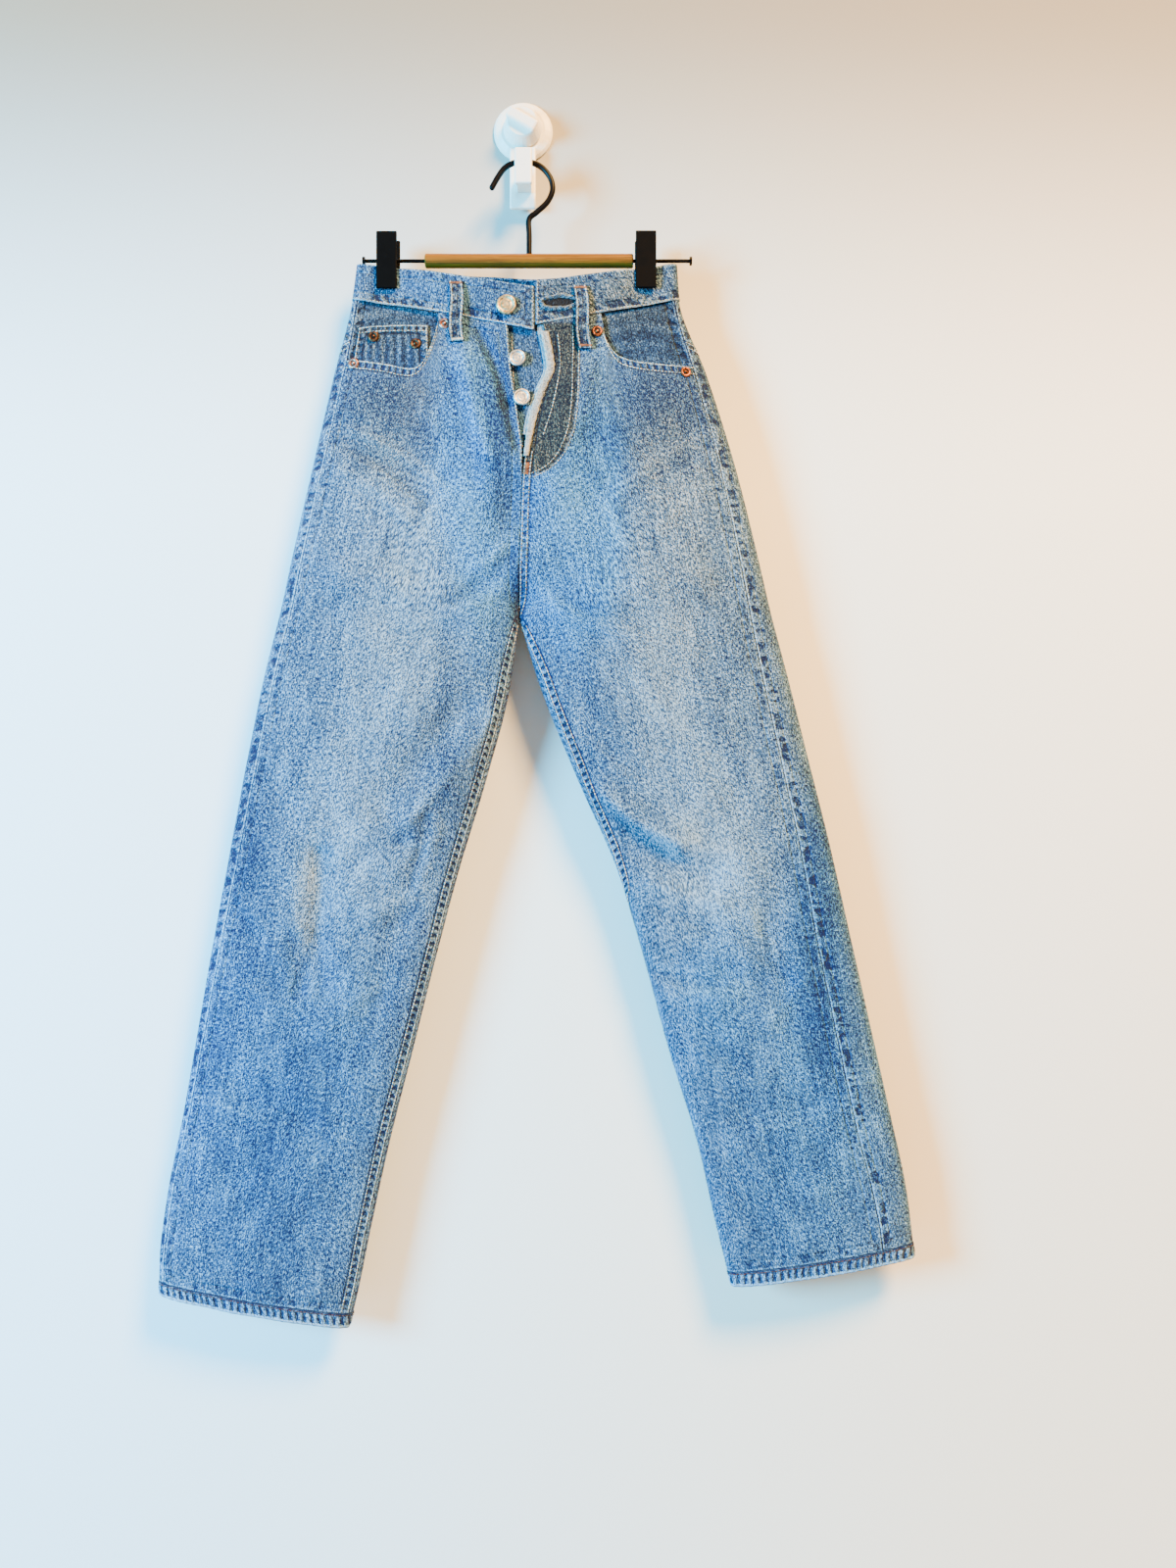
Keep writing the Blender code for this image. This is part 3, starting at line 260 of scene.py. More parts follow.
# Finer creases by face: the two ends (x, z), the height, the half width, and how far the
# middle of the crease bows to its left as it runs, in millimetres.
CREASES = {
    "front": (
        (-36, -197, -12, -262, -4, 4.5, 3),
        (-12, -262, -2, -300, -3, 4, 0),
        (-50, -212, -27, -306, 2.2, 7, -3),
        (-62, -235, -40, -330, -1.2, 6, 4),
        (-146, -283, -66, -337, 1.6, 5, 5),
        (-150, -297, -80, -348, -1.4, 5, 4),
        (-158, -318, -98, -362, 1.1, 6, 5),
        (-90, -250, -60, -300, 0.9, 5, -3),
        (60, -232, 40, -300, 1, 6, 4),
        (155, -290, 84, -336, 1.3, 5.5, -5),
        (150, -308, 92, -350, -1.2, 5, -4),
        (172, -330, 118, -372, 0.9, 6, -5),
        (-6, -372, -36, -402, 1.4, 5, 3),
        (-2, -380, 32, -430, 1.4, 5, -4),
        (-8, -392, -60, -432, -1.3, 5, 4),
        (4, -398, 60, -446, -1.3, 5.5, -4),
        (-16, -420, -92, -452, 1.2, 6, 5),
        (14, -424, 96, -462, 1.2, 6, -5),
        (-24, -532, -96, -622, 2, 5, 4),
        (-36, -548, -104, -640, -1.4, 4.5, 3),
        (-16, -500, -60, -548, 1, 5, 3),
        (-60, -628, -112, -668, 1, 5, -3),
        (-104, -640, -160, -668, -1.2, 5, -4),
        (-88, -682, -138, -700, 1.1, 4.5, 3),
        (-92, -700, -142, -722, -1.2, 4.5, 3),
        (-176, -650, -192, -770, -2.6, 5, 6),
        (-188, -716, -182, -776, 2.2, 4, 2),
        (-199, -722, -194, -772, -2.2, 4, 2),
        (-82, -620, -96, -680, -2, 4.5, 2),
        (-72, -626, -88, -672, 1.4, 4.5, 2),
        (-246, -690, -212, -742, 0.9, 5, 4),
        (-262, -760, -206, -786, 0.9, 5.5, 3),
        (-128, -770, -170, -806, 1, 5, -3),
        (-120, -800, -168, -842, -0.9, 5, -3),
        (-284, -868, -228, -884, 1.1, 5.5, 3),
        (-250, -892, -190, -880, -0.9, 5, 3),
        (-160, -900, -206, -936, 0.8, 6, 3),
        (-300, -960, -250, -952, 0.8, 5, 3),
        (72, -600, 138, -643, 2.2, 5, -4),
        (84, -622, 140, -660, -1.5, 4.5, -3),
        (66, -560, 104, -592, 1, 5, -3),
        (150, -640, 196, -652, 0.9, 5, -3),
        (112, -676, 176, -694, 1.2, 5, -3),
        (118, -700, 168, -716, -1, 4.5, -2),
        (118, -746, 168, -754, 1.2, 4, -2),
        (116, -757, 172, -766, -1.6, 4, -2),
        (128, -774, 190, -776, 1, 5, 2),
        (200, -702, 222, -742, 1.4, 4.5, -3),
        (210, -716, 232, -762, -1.1, 4, -3),
        (246, -760, 214, -800, 0.9, 5, 3),
        (150, -820, 198, -852, 0.9, 5, -3),
        (262, -852, 318, -846, 1, 5, -3),
        (206, -892, 262, -878, 0.9, 5, -3),
        (300, -930, 250, -948, 0.8, 5.5, 3),
    ),
    "back": (
        (-12, -392, -84, -424, 1.4, 5.5, -4),
        (-10, -408, -110, -446, -1.3, 5, -4),
        (8, -390, 86, -428, 1.4, 5.5, 4),
        (10, -410, 104, -444, -1.3, 5, 4),
        (-40, -456, -150, -468, 1.1, 6, -5),
        (40, -458, 148, -472, 1.1, 6, 5),
        (-60, -500, -160, -492, -1, 6, -4),
        (66, -502, 158, -490, -1, 6, 4),
        (-90, -690, -190, -706, 1.6, 5, -4),
        (-100, -716, -214, -722, -1.5, 5, -3),
        (-112, -734, -186, -742, 1.2, 5, 3),
        (-128, -764, -230, -758, -1.1, 5, -3),
        (-126, -790, -196, -802, 0.9, 5.5, -3),
        (116, -694, 214, -690, 1.5, 5, 4),
        (124, -722, 226, -716, -1.4, 5, 4),
        (130, -738, 202, -746, 1.1, 5, -3),
        (146, -770, 244, -762, -1, 5, 3),
        (148, -800, 216, -806, 0.9, 5.5, 3),
        (-160, -640, -214, -664, 0.9, 6, -3),
        (170, -640, 222, -660, 0.9, 6, 3),
        (-250, -900, -190, -916, 0.9, 6, 3),
        (268, -890, 214, -906, 0.9, 6, -3),
    ),
}

# Places that washing and wear made paler (or left darker), with two darker places that are painted shade, by
# face: x, z, half width, half height, in millimetres, and how much.
WEAR_AND_SHADE_PLACES = {
    "front": (
        (-100, -420, 60, 130, 0.26),
        (122, -420, 60, 130, 0.2),
        (-160, -650, 50, 100, 0.28),
        (176, -660, 50, 95, 0.36),
        (-90, -530, 46, 70, 0.12),
        (-180, -690, 5, 52, 0.16),
        (-191, -712, 4, 42, 0.14),
        (116, -540, 46, 70, 0.12),
        (-30, -400, 30, 60, 0.12),
        (40, -400, 30, 60, 0.08),
        (26, -350, 24, 26, 0.16),
        (-66, -262, 16, 34, 0.2),
        (74, -255, 12, 34, 0.16),
        (-44, -262, 15, 56, 0.08),
        # Painted shade: the dark crease beside the fly.
        (-16, -290, 11, 60, -0.3),
        # Painted shadow: the dark gap at the fork.
        (-2, -425, 7, 40, -0.5),
        (-100, -262, 66, 46, -0.25),
        (116, -262, 66, 46, -0.27),
        (118, -175, 34, 30, -0.1),
        (-62, -560, 12, 90, -0.16),
        (260, -740, 18, 120, -0.3),
        (-236, -640, 16, 110, -0.24),
        (-225, -880, 90, 170, -0.07),
        (255, -910, 90, 150, 0.03),
    ),
    "back": (
        (-95, -400, 80, 110, 0.24),
        (95, -400, 80, 110, 0.24),
        (-155, -640, 70, 110, 0.1),
        (165, -640, 70, 110, 0.1),
    ),
}

# Places whose blue is stronger (or, below zero, stained towards brown; one is browner and darker as painted shade
# in the crease beside the fly), as above.
CASTS = {
    "front": (
        (-42, -276, 38, 80, 0.6),
        (-26, -380, 32, 90, 0.7),
        (48, -380, 34, 80, 1.3),
        (258, -740, 22, 120, 0.5),
        (72, -285, 22, 60, 0.5),
        (130, -300, 40, 60, -0.3),
        (-118, -290, 34, 44, -0.4),
        # Painted shade: browner and darker along the crease beside the fly.
        (-18, -345, 14, 70, -0.5),
        (-70, -160, 40, 16, 0.3),
        (-116, -188, 42, 24, -0.6),
        (-240, -880, 80, 190, 0.45),
        (250, -900, 80, 160, 0.45),
        (-150, -800, 40, 120, 0.25),
        (165, -780, 34, 60, 0.4),
        (-105, -440, 55, 120, -0.1),
        (130, -440, 60, 120, -0.22),
        (-160, -690, 46, 60, -0.12),
        (175, -640, 56, 70, -0.08),
        (36, -172, 22, 18, -0.75),
        (-180, -690, 5, 52, -0.5),
        (-191, -712, 4, 42, -0.4),
        (96, -170, 34, 26, -0.55),
        (-95, -250, 45, 14, -0.25),
        (70, -260, 22, 26, -0.2),
    ),
    "back": (
        (-90, -420, 70, 120, -0.1),
        (90, -420, 70, 120, -0.1),
    ),
}

# The outer row of the fly's stitching, as x and z in millimetres, from the waist down. The
# inner row starts FLY_DOUBLE further in and comes to the same end.
FLY_CURVE = (
    (51, -192),
    (50.8, -222),
    (50, -255),
    (47, -283),
    (39.5, -304),
    (27, -318.5),
    (11, -327),
)
FLY_DOUBLE = 5.2
FLY_DOUBLE_FROM = 40.0
FLY_DOUBLE_DROP = 0.09

# The uneven lie of washed cloth: waves for each metre along x and z, and a phase.
DRAPE_WAVES = (
    (31, 17, 0.4),
    (-22, 41, 1.9),
    (47, -13, 3.1),
    (71, 38, 5.2),
    (-58, 67, 0.9),
)
DRAPE_SCALE = 0.32
DRAPE_HIGH = 0.25 * MM

# How worn each kind of piece is, on the scale from dark (0) through middle (0.5) to pale (1.1); the buttonhole's
# hollow is painted shade.
TONE = {
    "front": 0.32,
    "back": 0.34,
    "waistband": 0.38,
    "hem": 0.5,
    "back_pocket": 0.42,
    "belt_loop": 0.28,
    "pocket_facing": 0.4,
    "coin_pocket": 0.46,
    "fly_underlap": 0.56,
    "fly_facing": 0.5,
    "fly_roll": 0.7,
    "buttonhole_lips": 0.62,
    "buttonhole_hollow": 0.3,
}
COMMON_CAST = 0.46
FLAP_CAST = -0.55
FLAP_FADE = 0.27
LOOP_CAST = 0.1
ROLL_CAST = 0.12
FACING_CAST = 0.5
RELIEF_WEAR_AND_SHADE = 0.08
RELIEF_LIMIT = 2.0 * MM

# The names of what the meshes give to their materials.
# The fade layer holds wear and painted shade.
FADE_AND_SHADE_LAYER = "fade"
CAST_LAYER = "cast"
PUCKER_LAYER = "pucker"
BLOTCH_LAYER = "blotch"
SHARE_LAYER = "share"
CLOTH_MAP = "cloth"
SEAM_MAP = "seam"


def smooth_curve(table, column, at):
    """Reads a column of a table at given places, on a smooth curve that never overshoots.

    Each row's slope is the harmonic mean of the slopes beside it, or zero at a turn.
    """
    rows = np.array(table, dtype=float)
    place, value = rows[:, 0] * MM, rows[:, column]
    step = np.diff(place)
    rise = np.diff(value) / step
    slope = np.empty(len(value))
    slope[0], slope[-1] = rise[0], rise[-1]
    same = rise[:-1] * rise[1:] > 0
    total = np.where(same, rise[:-1] + rise[1:], 1.0)
    slope[1:-1] = np.where(same, 2.0 * rise[:-1] * rise[1:] / total, 0.0)
    at = np.clip(at, place[0], place[-1])
    row = np.clip(np.searchsorted(place, at, side="right") - 1, 0, len(step) - 1)
    t = (at - place[row]) / step[row]
    start, end = value[row], value[row + 1]
    bend_start, bend_end = slope[row] * step[row], slope[row + 1] * step[row]
    return (
        (2 * t**3 - 3 * t**2 + 1) * start
        + (t**3 - 2 * t**2 + t) * bend_start
        + (3 * t**2 - 2 * t**3) * end
        + (t**3 - t**2) * bend_end
    )


def soft_step(value, low, high):
    """0 below low, 1 above high, and 3 t^2 - 2 t^3 between them."""
    t = np.clip((value - low) / (high - low), 0.0, 1.0)
    return t * t * (3 - 2 * t)


def centre_x(below):
    """Where the centre seam lies."""
    return smooth_curve(CENTRE_LINE, CENTRE_COLUMNS.index("x"), below) * MM


def depth_value(name, below):
    """A named column of the depths, in millimetres or degrees."""
    return smooth_curve(DEPTHS, DEPTH_COLUMNS.index(name), below)


def closing_angle(below):
    """The turn at which a half's section closes: 90 degrees is a half, 180 a whole leg."""
    return np.radians(depth_value("closing", below))


def edges(side, below):
    """The outer point (x, z) and the inner point's x of a half's section."""
    outer_x = smooth_curve(OUTER_EDGE[side], OUTER_COLUMNS.index("x"), below) * MM
    outer_z = smooth_curve(OUTER_EDGE[side], OUTER_COLUMNS.index("z"), below) * MM
    leg_x = smooth_curve(INNER_EDGE[side], CENTRE_COLUMNS.index("x"), below) * MM
    gap = -SEAM_GAP / 2 if side == "right" else SEAM_GAP / 2
    inner_x = np.where(below <= FORK, centre_x(below), leg_x) + gap
    return outer_x, outer_z, inner_x


def line_height(row, x, z):
    """One soft ridge or trough: height * exp(-(distance / width)^2) from a bowed line.

    The line's middle is moved sideways by bow * 4 t (1 - t), with t from 0 to 1 along it.
    """
    x0, z0, x1, z1, height, wide = row[:6]
    bow = row[6] if len(row) > 6 else 0.0
    start = np.array((x0, z0)) * MM
    run = np.array((x1, z1)) * MM - start
    long = np.hypot(*run)
    along = ((x - start[0]) * run[0] + (z - start[1]) * run[1]) / long**2
    held = np.clip(along, 0.0, 1.0)
    side_way = ((z - start[1]) * run[0] - (x - start[0]) * run[1]) / long
    away = np.hypot(side_way - bow * MM * 4 * held * (1 - held), (along - held) * long)
    return height * MM * np.exp(-((away / (wide * MM)) ** 2))


def relief(table, front, x, z):
    """The height of a table's ridges and troughs, each on its own face."""
    total = np.zeros(np.shape(x))
    for face, on_face in (("front", front), ("back", ~front)):
        for row in table[face]:
            total += np.where(on_face, line_height(row, x, z), 0.0)
    return total


def drape_ripple(x, z):
    total = np.zeros(np.shape(x))
    for per_x, per_z, phase in DRAPE_WAVES:
        total += np.sin(2 * math.pi * (per_x * x + per_z * z) * DRAPE_SCALE + phase)
    return total * DRAPE_HIGH


def fold_height(front, x, z):
    return relief(FOLDS, front, x, z) + relief(CREASES, front, x, z) + drape_ripple(x, z)


def skin(side, below, turn, inset=0.0):
    """Points of one half of the trousers, at a depth of inset under its outer face.

    turn runs round the section: 0 at the outer edge, positive on the front, negative on
    the back. The way across is (1 - cos turn) / (1 - cos closing), and the depth is the
    half depth times |sin turn| to the power NOSE, plus the folds.
    """
    below, turn = np.broadcast_arrays(np.asarray(below, float), np.asarray(turn, float))
    outer_x, outer_z, inner_x = edges(side, below)
    closing = closing_angle(below)
    inward = 1.0 if side == "right" else -1.0
    outer_x = outer_x + inward * inset
    inner_x = inner_x - inward * inset * np.maximum(0.0, -np.cos(closing))
    across = (1 - np.cos(turn)) / (1 - np.cos(closing))
    front = np.sin(turn) >= 0
    lift = np.where(front, 0.0, depth_value("back_lift", below))
    if side == "left":
        lift = np.where(front, depth_value("left_lift", below) * across, lift)
    x = outer_x + (inner_x - outer_x) * across
    z = outer_z + (WAIST_Z - below - outer_z + lift * MM) * across
    half = np.where(front, depth_value("front", below), depth_value("back", below)) * MM
    round_off = np.abs(np.sin(turn))
    depth = (half - inset) * round_off**NOSE + fold_height(front, x, z) * round_off**0.5
    y = MID_Y - np.where(front, depth, -depth)
    return np.stack([x, y, z], axis=-1)


def turn_at(side, below, away, from_inner=False):
    """The turn, on the front, at a distance in from the outer or the inner edge."""
    outer_x, _, inner_x = edges(side, below)
    across = away / np.abs(inner_x - outer_x)
    if from_inner:
        across = 1 - across
    return np.arccos(np.clip(1 - across * (1 - np.cos(closing_angle(below))), -1, 1))


def seam_gap_turn(side, below, turn):
    """Half a seam's gap as a turn."""
    small = 0.01
    chord = skin(side, below, turn + small) - skin(side, below, turn - small)
    return SEAM_GAP / 2 * (2 * small) / np.linalg.norm(chord, axis=-1)


def outseam_turn(side, below):
    """Where the front panel begins."""
    away = smooth_curve(SEAMS[side], SEAM_COLUMNS.index("outseam"), below) * MM
    return turn_at(side, below, away)


def inner_turn(side, below):
    """Where the front panel ends: the centre seam, and the inseam under the fork."""
    away = smooth_curve(SEAMS[side], SEAM_COLUMNS.index("inseam"), below) * MM
    turn = turn_at(side, below, np.abs(away), from_inner=True)
    turn = np.where(away < 0, 2 * math.pi - turn, turn)
    return np.where(below <= FORK, closing_angle(below), turn)


def front_turns(side, below):
    """From the outseam to the open fly, the centre seam or the inseam."""
    start = outseam_turn(side, below)
    away = smooth_curve(FLY, FLY_COLUMNS.index(side + "_edge"), below) * MM
    fly = turn_at(side, below, away, from_inner=True)
    seam = inner_turn(side, below)
    end = np.where(below < FLY[-1][0] * MM, np.minimum(seam, fly), seam)
    return start + seam_gap_turn(side, below, start), end - seam_gap_turn(side, below, end)


def back_turns(side, below):
    """From the outseam round the outer edge and the back to the centre back or inseam."""
    start = outseam_turn(side, below)
    end = np.where(below <= FORK, -closing_angle(below), inner_turn(side, below) - 2 * math.pi)
    return start - seam_gap_turn(side, below, start), end + seam_gap_turn(side, below, end)


def locate(side, face, x, z):
    """The level and turn of a half's point at x and z, by repeated correction of z."""
    below = WAIST_Z - z
    sign = 1.0 if face == "front" else -1.0
    for _ in range(12):
        outer_x, _, inner_x = edges(side, below)
        across = np.clip((x - outer_x) / (inner_x - outer_x), 0.0, 1.0)
        turn = sign * np.arccos(1 - across * (1 - np.cos(closing_angle(below))))
        below = np.clip(below + skin(side, below, turn)[..., 2] - z, BAND_TOP, LEG_END[side])
    return below, turn


def cloth(face, x, z, inset=0.0):
    """The point of the whole front or back at x and z, at a depth of inset."""
    x, z = np.broadcast_arrays(np.asarray(x, float), np.asarray(z, float))
    below = {}
    depth = {}
    for side in ("right", "left"):
        below[side], turn = locate(side, face, x, z)
        depth[side] = skin(side, below[side], turn, inset)[..., 1]
    is_right = x < centre_x(below["right"])
    return np.stack([x, np.where(is_right, depth["right"], depth["left"]), z], axis=-1)


def smooth_route(points, steps):
    """Points along a smooth curve through the given ones, with tangents from neighbours."""
    points = np.array(points, float)
    padded = np.concatenate([[2 * points[0] - points[1]], points, [2 * points[-1] - points[-2]]])
    route = []
    t = np.linspace(0.0, 1.0, steps, endpoint=False)[:, None]
    for before, start, end, after in zip(padded, padded[1:], padded[2:], padded[3:]):
        lead, trail = (end - before) / 2, (after - start) / 2
        route.append(
            (2 * t**3 - 3 * t**2 + 1) * start
            + (t**3 - 2 * t**2 + t) * lead
            + (3 * t**2 - 2 * t**3) * end
            + (t**3 - t**2) * trail
        )
    return np.concatenate(route + [points[-1:]])


def lengths(points):
    """Distance run along a path, from its start."""
    return np.concatenate([[0.0], np.cumsum(np.linalg.norm(np.diff(points, axis=0), axis=1))])


def respace(values, run, at):
    """Reads rows of values, given at distances run, at other distances."""
    return np.stack([np.interp(at, run, values[:, k]) for k in range(values.shape[1])], axis=-1)


def edge_dense(count):
    """Shares from 0 to 1, closer together towards both ends: t - 0.06 sin(2 pi t)."""
    t = np.linspace(0.0, 1.0, count)
    return t - 0.06 * np.sin(2 * math.pi * t)


def grid_normals(grid, ring=False):
    """Unit normals of a grid, by the cross product of its steps across and down."""
    if ring:
        across = np.roll(grid, -1, axis=1) - np.roll(grid, 1, axis=1)
    else:
        across = np.gradient(grid, axis=1)
    normal = np.cross(across, np.gradient(grid, axis=0))
    return normal / np.maximum(np.linalg.norm(normal, axis=-1, keepdims=True), 1e-12)


def outward_normals(outer, inner, ring=False):
    normal = grid_normals(outer, ring)
    return normal * np.sign(np.mean(np.sum(normal * (outer - inner), axis=-1)))


RIM_IN = 0.45 * MM
RIM_SHARE = 0.3


def add_rims(outer, inner, ring=False):
    """Rounds a wall's rims: a row close to each edge, and the edge itself drawn together."""
    for axis in (0,) if ring else (0, 1):
        outer, inner = (np.swapaxes(grid, 0, axis) for grid in (outer, inner))
        step = np.linalg.norm(outer[1] - outer[0], axis=-1).mean()
        last = np.linalg.norm(outer[-1] - outer[-2], axis=-1).mean()
        rounded = []
        for near, far in ((outer, inner), (inner, outer)):
            second = near[0] + (near[1] - near[0]) * min(0.5, RIM_IN / step)
            third = near[-1] + (near[-2] - near[-1]) * min(0.5, RIM_IN / last)
            first = near[0] + (far[0] - near[0]) * RIM_SHARE
            final = near[-1] + (far[-1] - near[-1]) * RIM_SHARE
            rounded.append(np.concatenate([[first], [second], near[1:-1], [third], [final]]))
        outer, inner = (np.swapaxes(grid, 0, axis) for grid in rounded)
    return outer, inner


def grid_lengths(grid, ring=False):
    """Distance run across each row and down each column. A ring has one column more."""
    if ring:
        grid = np.concatenate([grid, grid[:, :1]], axis=1)
    across = np.linalg.norm(np.diff(grid, axis=1), axis=-1)
    down = np.linalg.norm(np.diff(grid, axis=0), axis=-1)
    across = np.concatenate([np.zeros((len(grid), 1)), np.cumsum(across, axis=1)], axis=1)
    down = np.concatenate([np.zeros((1, grid.shape[1])), np.cumsum(down, axis=0)])
    return across, down


# What is added to the place along each edge, so that no two edges pucker alike.
EDGE_SHIFT = {"left": 0.0, "right": 0.37, "top": 0.71, "bottom": 1.13}


def seam_map(grid, ring, seams):
    """The distance to the nearest sewn edge, the place along it, its puckers and blotches.

    seams gives, for an edge's name, the strength of each, as a number or a function of
    the points.
    """
    across, down = grid_lengths(grid, ring)
    if ring:
        grid = np.concatenate([grid, grid[:, :1]], axis=1)
    distances = {
        "left": (across, down),
        "right": (across[:, -1:] - across, down),
        "top": (down, across),
        "bottom": (down[-1:] - down, across),
    }
    away = np.full(across.shape, 1.0)
    along = np.zeros(across.shape)
    strengths = [np.zeros(across.shape), np.zeros(across.shape)]
    for name, given in seams.items():
        distance, place = distances[name]
        nearer = distance < away
        away = np.where(nearer, distance, away)
        along = np.where(nearer, place + EDGE_SHIFT[name], along)
        for k, strength in enumerate(given):
            value = strength(grid) if callable(strength) else strength
            strengths[k] = np.where(nearer, value, strengths[k])
    return np.stack([across, down], axis=-1), np.stack([away, along], axis=-1), *strengths


def wall_corners(rows, columns, ring):
    """A closed wall's faces, each corner as (layer, row, column), all turned one way."""
    spans = columns if ring else columns - 1
    r, c = (g.ravel() for g in np.meshgrid(np.arange(rows - 1), np.arange(spans), indexing="ij"))
    zero, one = np.zeros_like(r), np.ones_like(r)

    def quads(*corners):
        return np.stack([np.stack(np.broadcast_arrays(*corner), axis=-1) for corner in corners], axis=1)

    parts = [
        quads((zero, r, c), (zero, r, c + 1), (zero, r + 1, c + 1), (zero, r + 1, c)),
        quads((one, r, c), (one, r + 1, c), (one, r + 1, c + 1), (one, r, c + 1)),
    ]
    e = np.arange(spans)
    low, end = np.zeros_like(e), np.full_like(e, rows - 1)
    on = np.ones_like(e)
    parts.append(quads((low, low, e + 1), (low, low, e), (on, low, e), (on, low, e + 1)))
    parts.append(quads((low, end, e), (low, end, e + 1), (on, end, e + 1), (on, end, e)))
    if not ring:
        e = np.arange(rows - 1)
        low, end = np.zeros_like(e), np.full_like(e, columns - 1)
        on = np.ones_like(e)
        parts.append(quads((low, e, low), (low, e + 1, low), (on, e + 1, low), (on, e, low)))
        parts.append(quads((low, e + 1, end), (low, e, end), (on, e, end), (on, e + 1, end)))
    return np.concatenate(parts)


def new_object(name, mesh, material):
    """An object of the jeans' one body, with its material."""
    obj = bpy.data.objects.new(name, mesh)
    bpy.context.scene.collection.objects.link(obj)
    mesh.materials.append(material)
    mesh.shade_smooth()
    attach(obj, "root")
    return obj


def place_sum(table, points):
    """The sum of a table's soft places: amount * exp(-(distance / half size)^2)."""
    x, z = points[..., 0], points[..., 2]
    front = points[..., 1] < MID_Y
    total = np.zeros(x.shape)
    for face, on_face in (("front", front), ("back", ~front)):
        for x0, z0, wide, tall, amount in table[face]:
            away = ((x - x0 * MM) / (wide * MM)) ** 2 + ((z - z0 * MM) / (tall * MM)) ** 2
            total += np.where(on_face, amount * np.exp(-away), 0.0)
    return total


def fly_edge_x(level):
    """Where the left front's open edge lies."""
    return centre_x(level) + smooth_curve(FLY, FLY_COLUMNS.index("left_edge"), level) * MM


def in_fly_flap(points):
    """1 on the left front between its open edge and the fly's curved stitching."""
    line = np.array(FLY_CURVE) * MM
    top, end = line[0, 1], line[-1, 1]
    x, z = points[..., 0], points[..., 2]
    limit = np.interp(-z, -line[:, 1], line[:, 0])
    edge = fly_edge_x(WAIST_Z - z)
    across = soft_step(limit - x, -1.5 * MM, 1.0 * MM) * soft_step(x - edge, -2 * MM, 0.0)
    tall = soft_step(z, end, end + 6 * MM) * soft_step(-z, -top - 6 * MM, -top)
    return np.where(points[..., 1] < MID_Y, across * tall, 0.0)


def wear_and_shade_at(points):
    """How pale the cloth is: its worn places and painted shade, with crease ridges paler as wear and crease
    troughs darker as painted shade.
    """
    front = points[..., 1] < MID_Y
    height = relief(CREASES, front, points[..., 0], points[..., 2])
    height = np.clip(height, -RELIEF_LIMIT, RELIEF_LIMIT)
    # Crease ridges come out paler as wear, and crease troughs darker as painted shade.
    return place_sum(WEAR_AND_SHADE_PLACES, points) + RELIEF_WEAR_AND_SHADE * height / MM - FLAP_FADE * in_fly_flap(points)


def cast_at(points):
    """How blue the cloth is: above the common cast it is stronger, below zero brown."""
    flap = in_fly_flap(points)
    return (COMMON_CAST + place_sum(CASTS, points)) * (1 - flap) + FLAP_CAST * flap


# The outer points and normals of each piece made, which the sewing follows.
PANELS = {}


def add_wall(
    name, outer, inner, material, slot="denim", seams=None, ring=False, tone=0.0, stretch=1.0, cast=None
):
    """A closed wall of cloth between two grids, which stands for the node of its name.

    seams is as in seam_map, and stretch widens what lies beside them. tone is a number or
    a function of the points, and cast a number where it isn't the place's own.
    """
    PANELS[name] = (outer, outward_normals(outer, inner, ring))
    outer, inner = add_rims(outer, inner, ring)
    rows, columns = outer.shape[:2]
    corners = wall_corners(rows, columns, ring)
    inward = np.sum(grid_normals(outer, ring) * (outer - inner), axis=-1).mean() < 0
    if inward:
        corners = corners[:, ::-1]
    index = corners[..., 0] * rows * columns + corners[..., 1] * columns + corners[..., 2] % columns
    points = np.concatenate([outer.reshape(-1, 3), inner.reshape(-1, 3)])
    mesh = bpy.data.meshes.new(name + "_cloth")
    mesh.from_pydata(points.tolist(), [], index.tolist())
    cloth_map, edge_map, pucker, blotch = seam_map(outer, ring, seams or {})
    edge_map = edge_map / (stretch, 1.0)
    place = (corners[..., 1].ravel(), corners[..., 2].ravel())
    for layer, values in ((CLOTH_MAP, cloth_map), (SEAM_MAP, edge_map)):
        uv = mesh.uv_layers.new(name=layer)
        uv.data.foreach_set("uv", values[place].ravel().astype(np.float32))
    layers = {
        FADE_AND_SHADE_LAYER: wear_and_shade_at(points) + (tone(points) if callable(tone) else tone),
        CAST_LAYER: cast_at(points) if cast is None else np.full(len(points), cast),
        PUCKER_LAYER: np.tile(pucker[:, :columns].ravel(), 2),
        BLOTCH_LAYER: np.tile(blotch[:, :columns].ravel(), 2),
    }
    for layer, values in layers.items():
        mesh.attributes.new(layer, "FLOAT", "POINT").data.foreach_set("value", values.astype(np.float32))
    obj = new_object(name + "_cloth", mesh, material)
    declare_sheet(outer, ring)
    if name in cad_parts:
        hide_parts(name)
    return obj


SEAM_TURNING = 12.0 * MM
TURNING_SHARE = 0.05
SMALLEST_SIDE = 10.1 * MM
LEAST_AREA_SHARE = 0.3


def declare_sheet(outer, ring):
    """Works out the piece's cut, its own width and length laid flat with its seam turnings, and keeps nothing."""
    across, down = grid_lengths(outer, ring)
    if ring:
        outer = np.concatenate([outer, outer[:, :1]], axis=1)
    width, length = across[:, -1].max(), down[-1].max()
    steps = np.cross(np.diff(outer, axis=1)[:-1], np.diff(outer, axis=0)[:, :-1])
    area = np.linalg.norm(steps, axis=-1).sum()
    turning = min(SEAM_TURNING, TURNING_SHARE * min(width, length))
    flat = [max(side + 2 * turning, SMALLEST_SIDE) for side in (width, length)]
    whole = flat[0] * flat[1]
    area = np.clip(area + 2 * turning * (width + length), LEAST_AREA_SHARE * whole, whole)


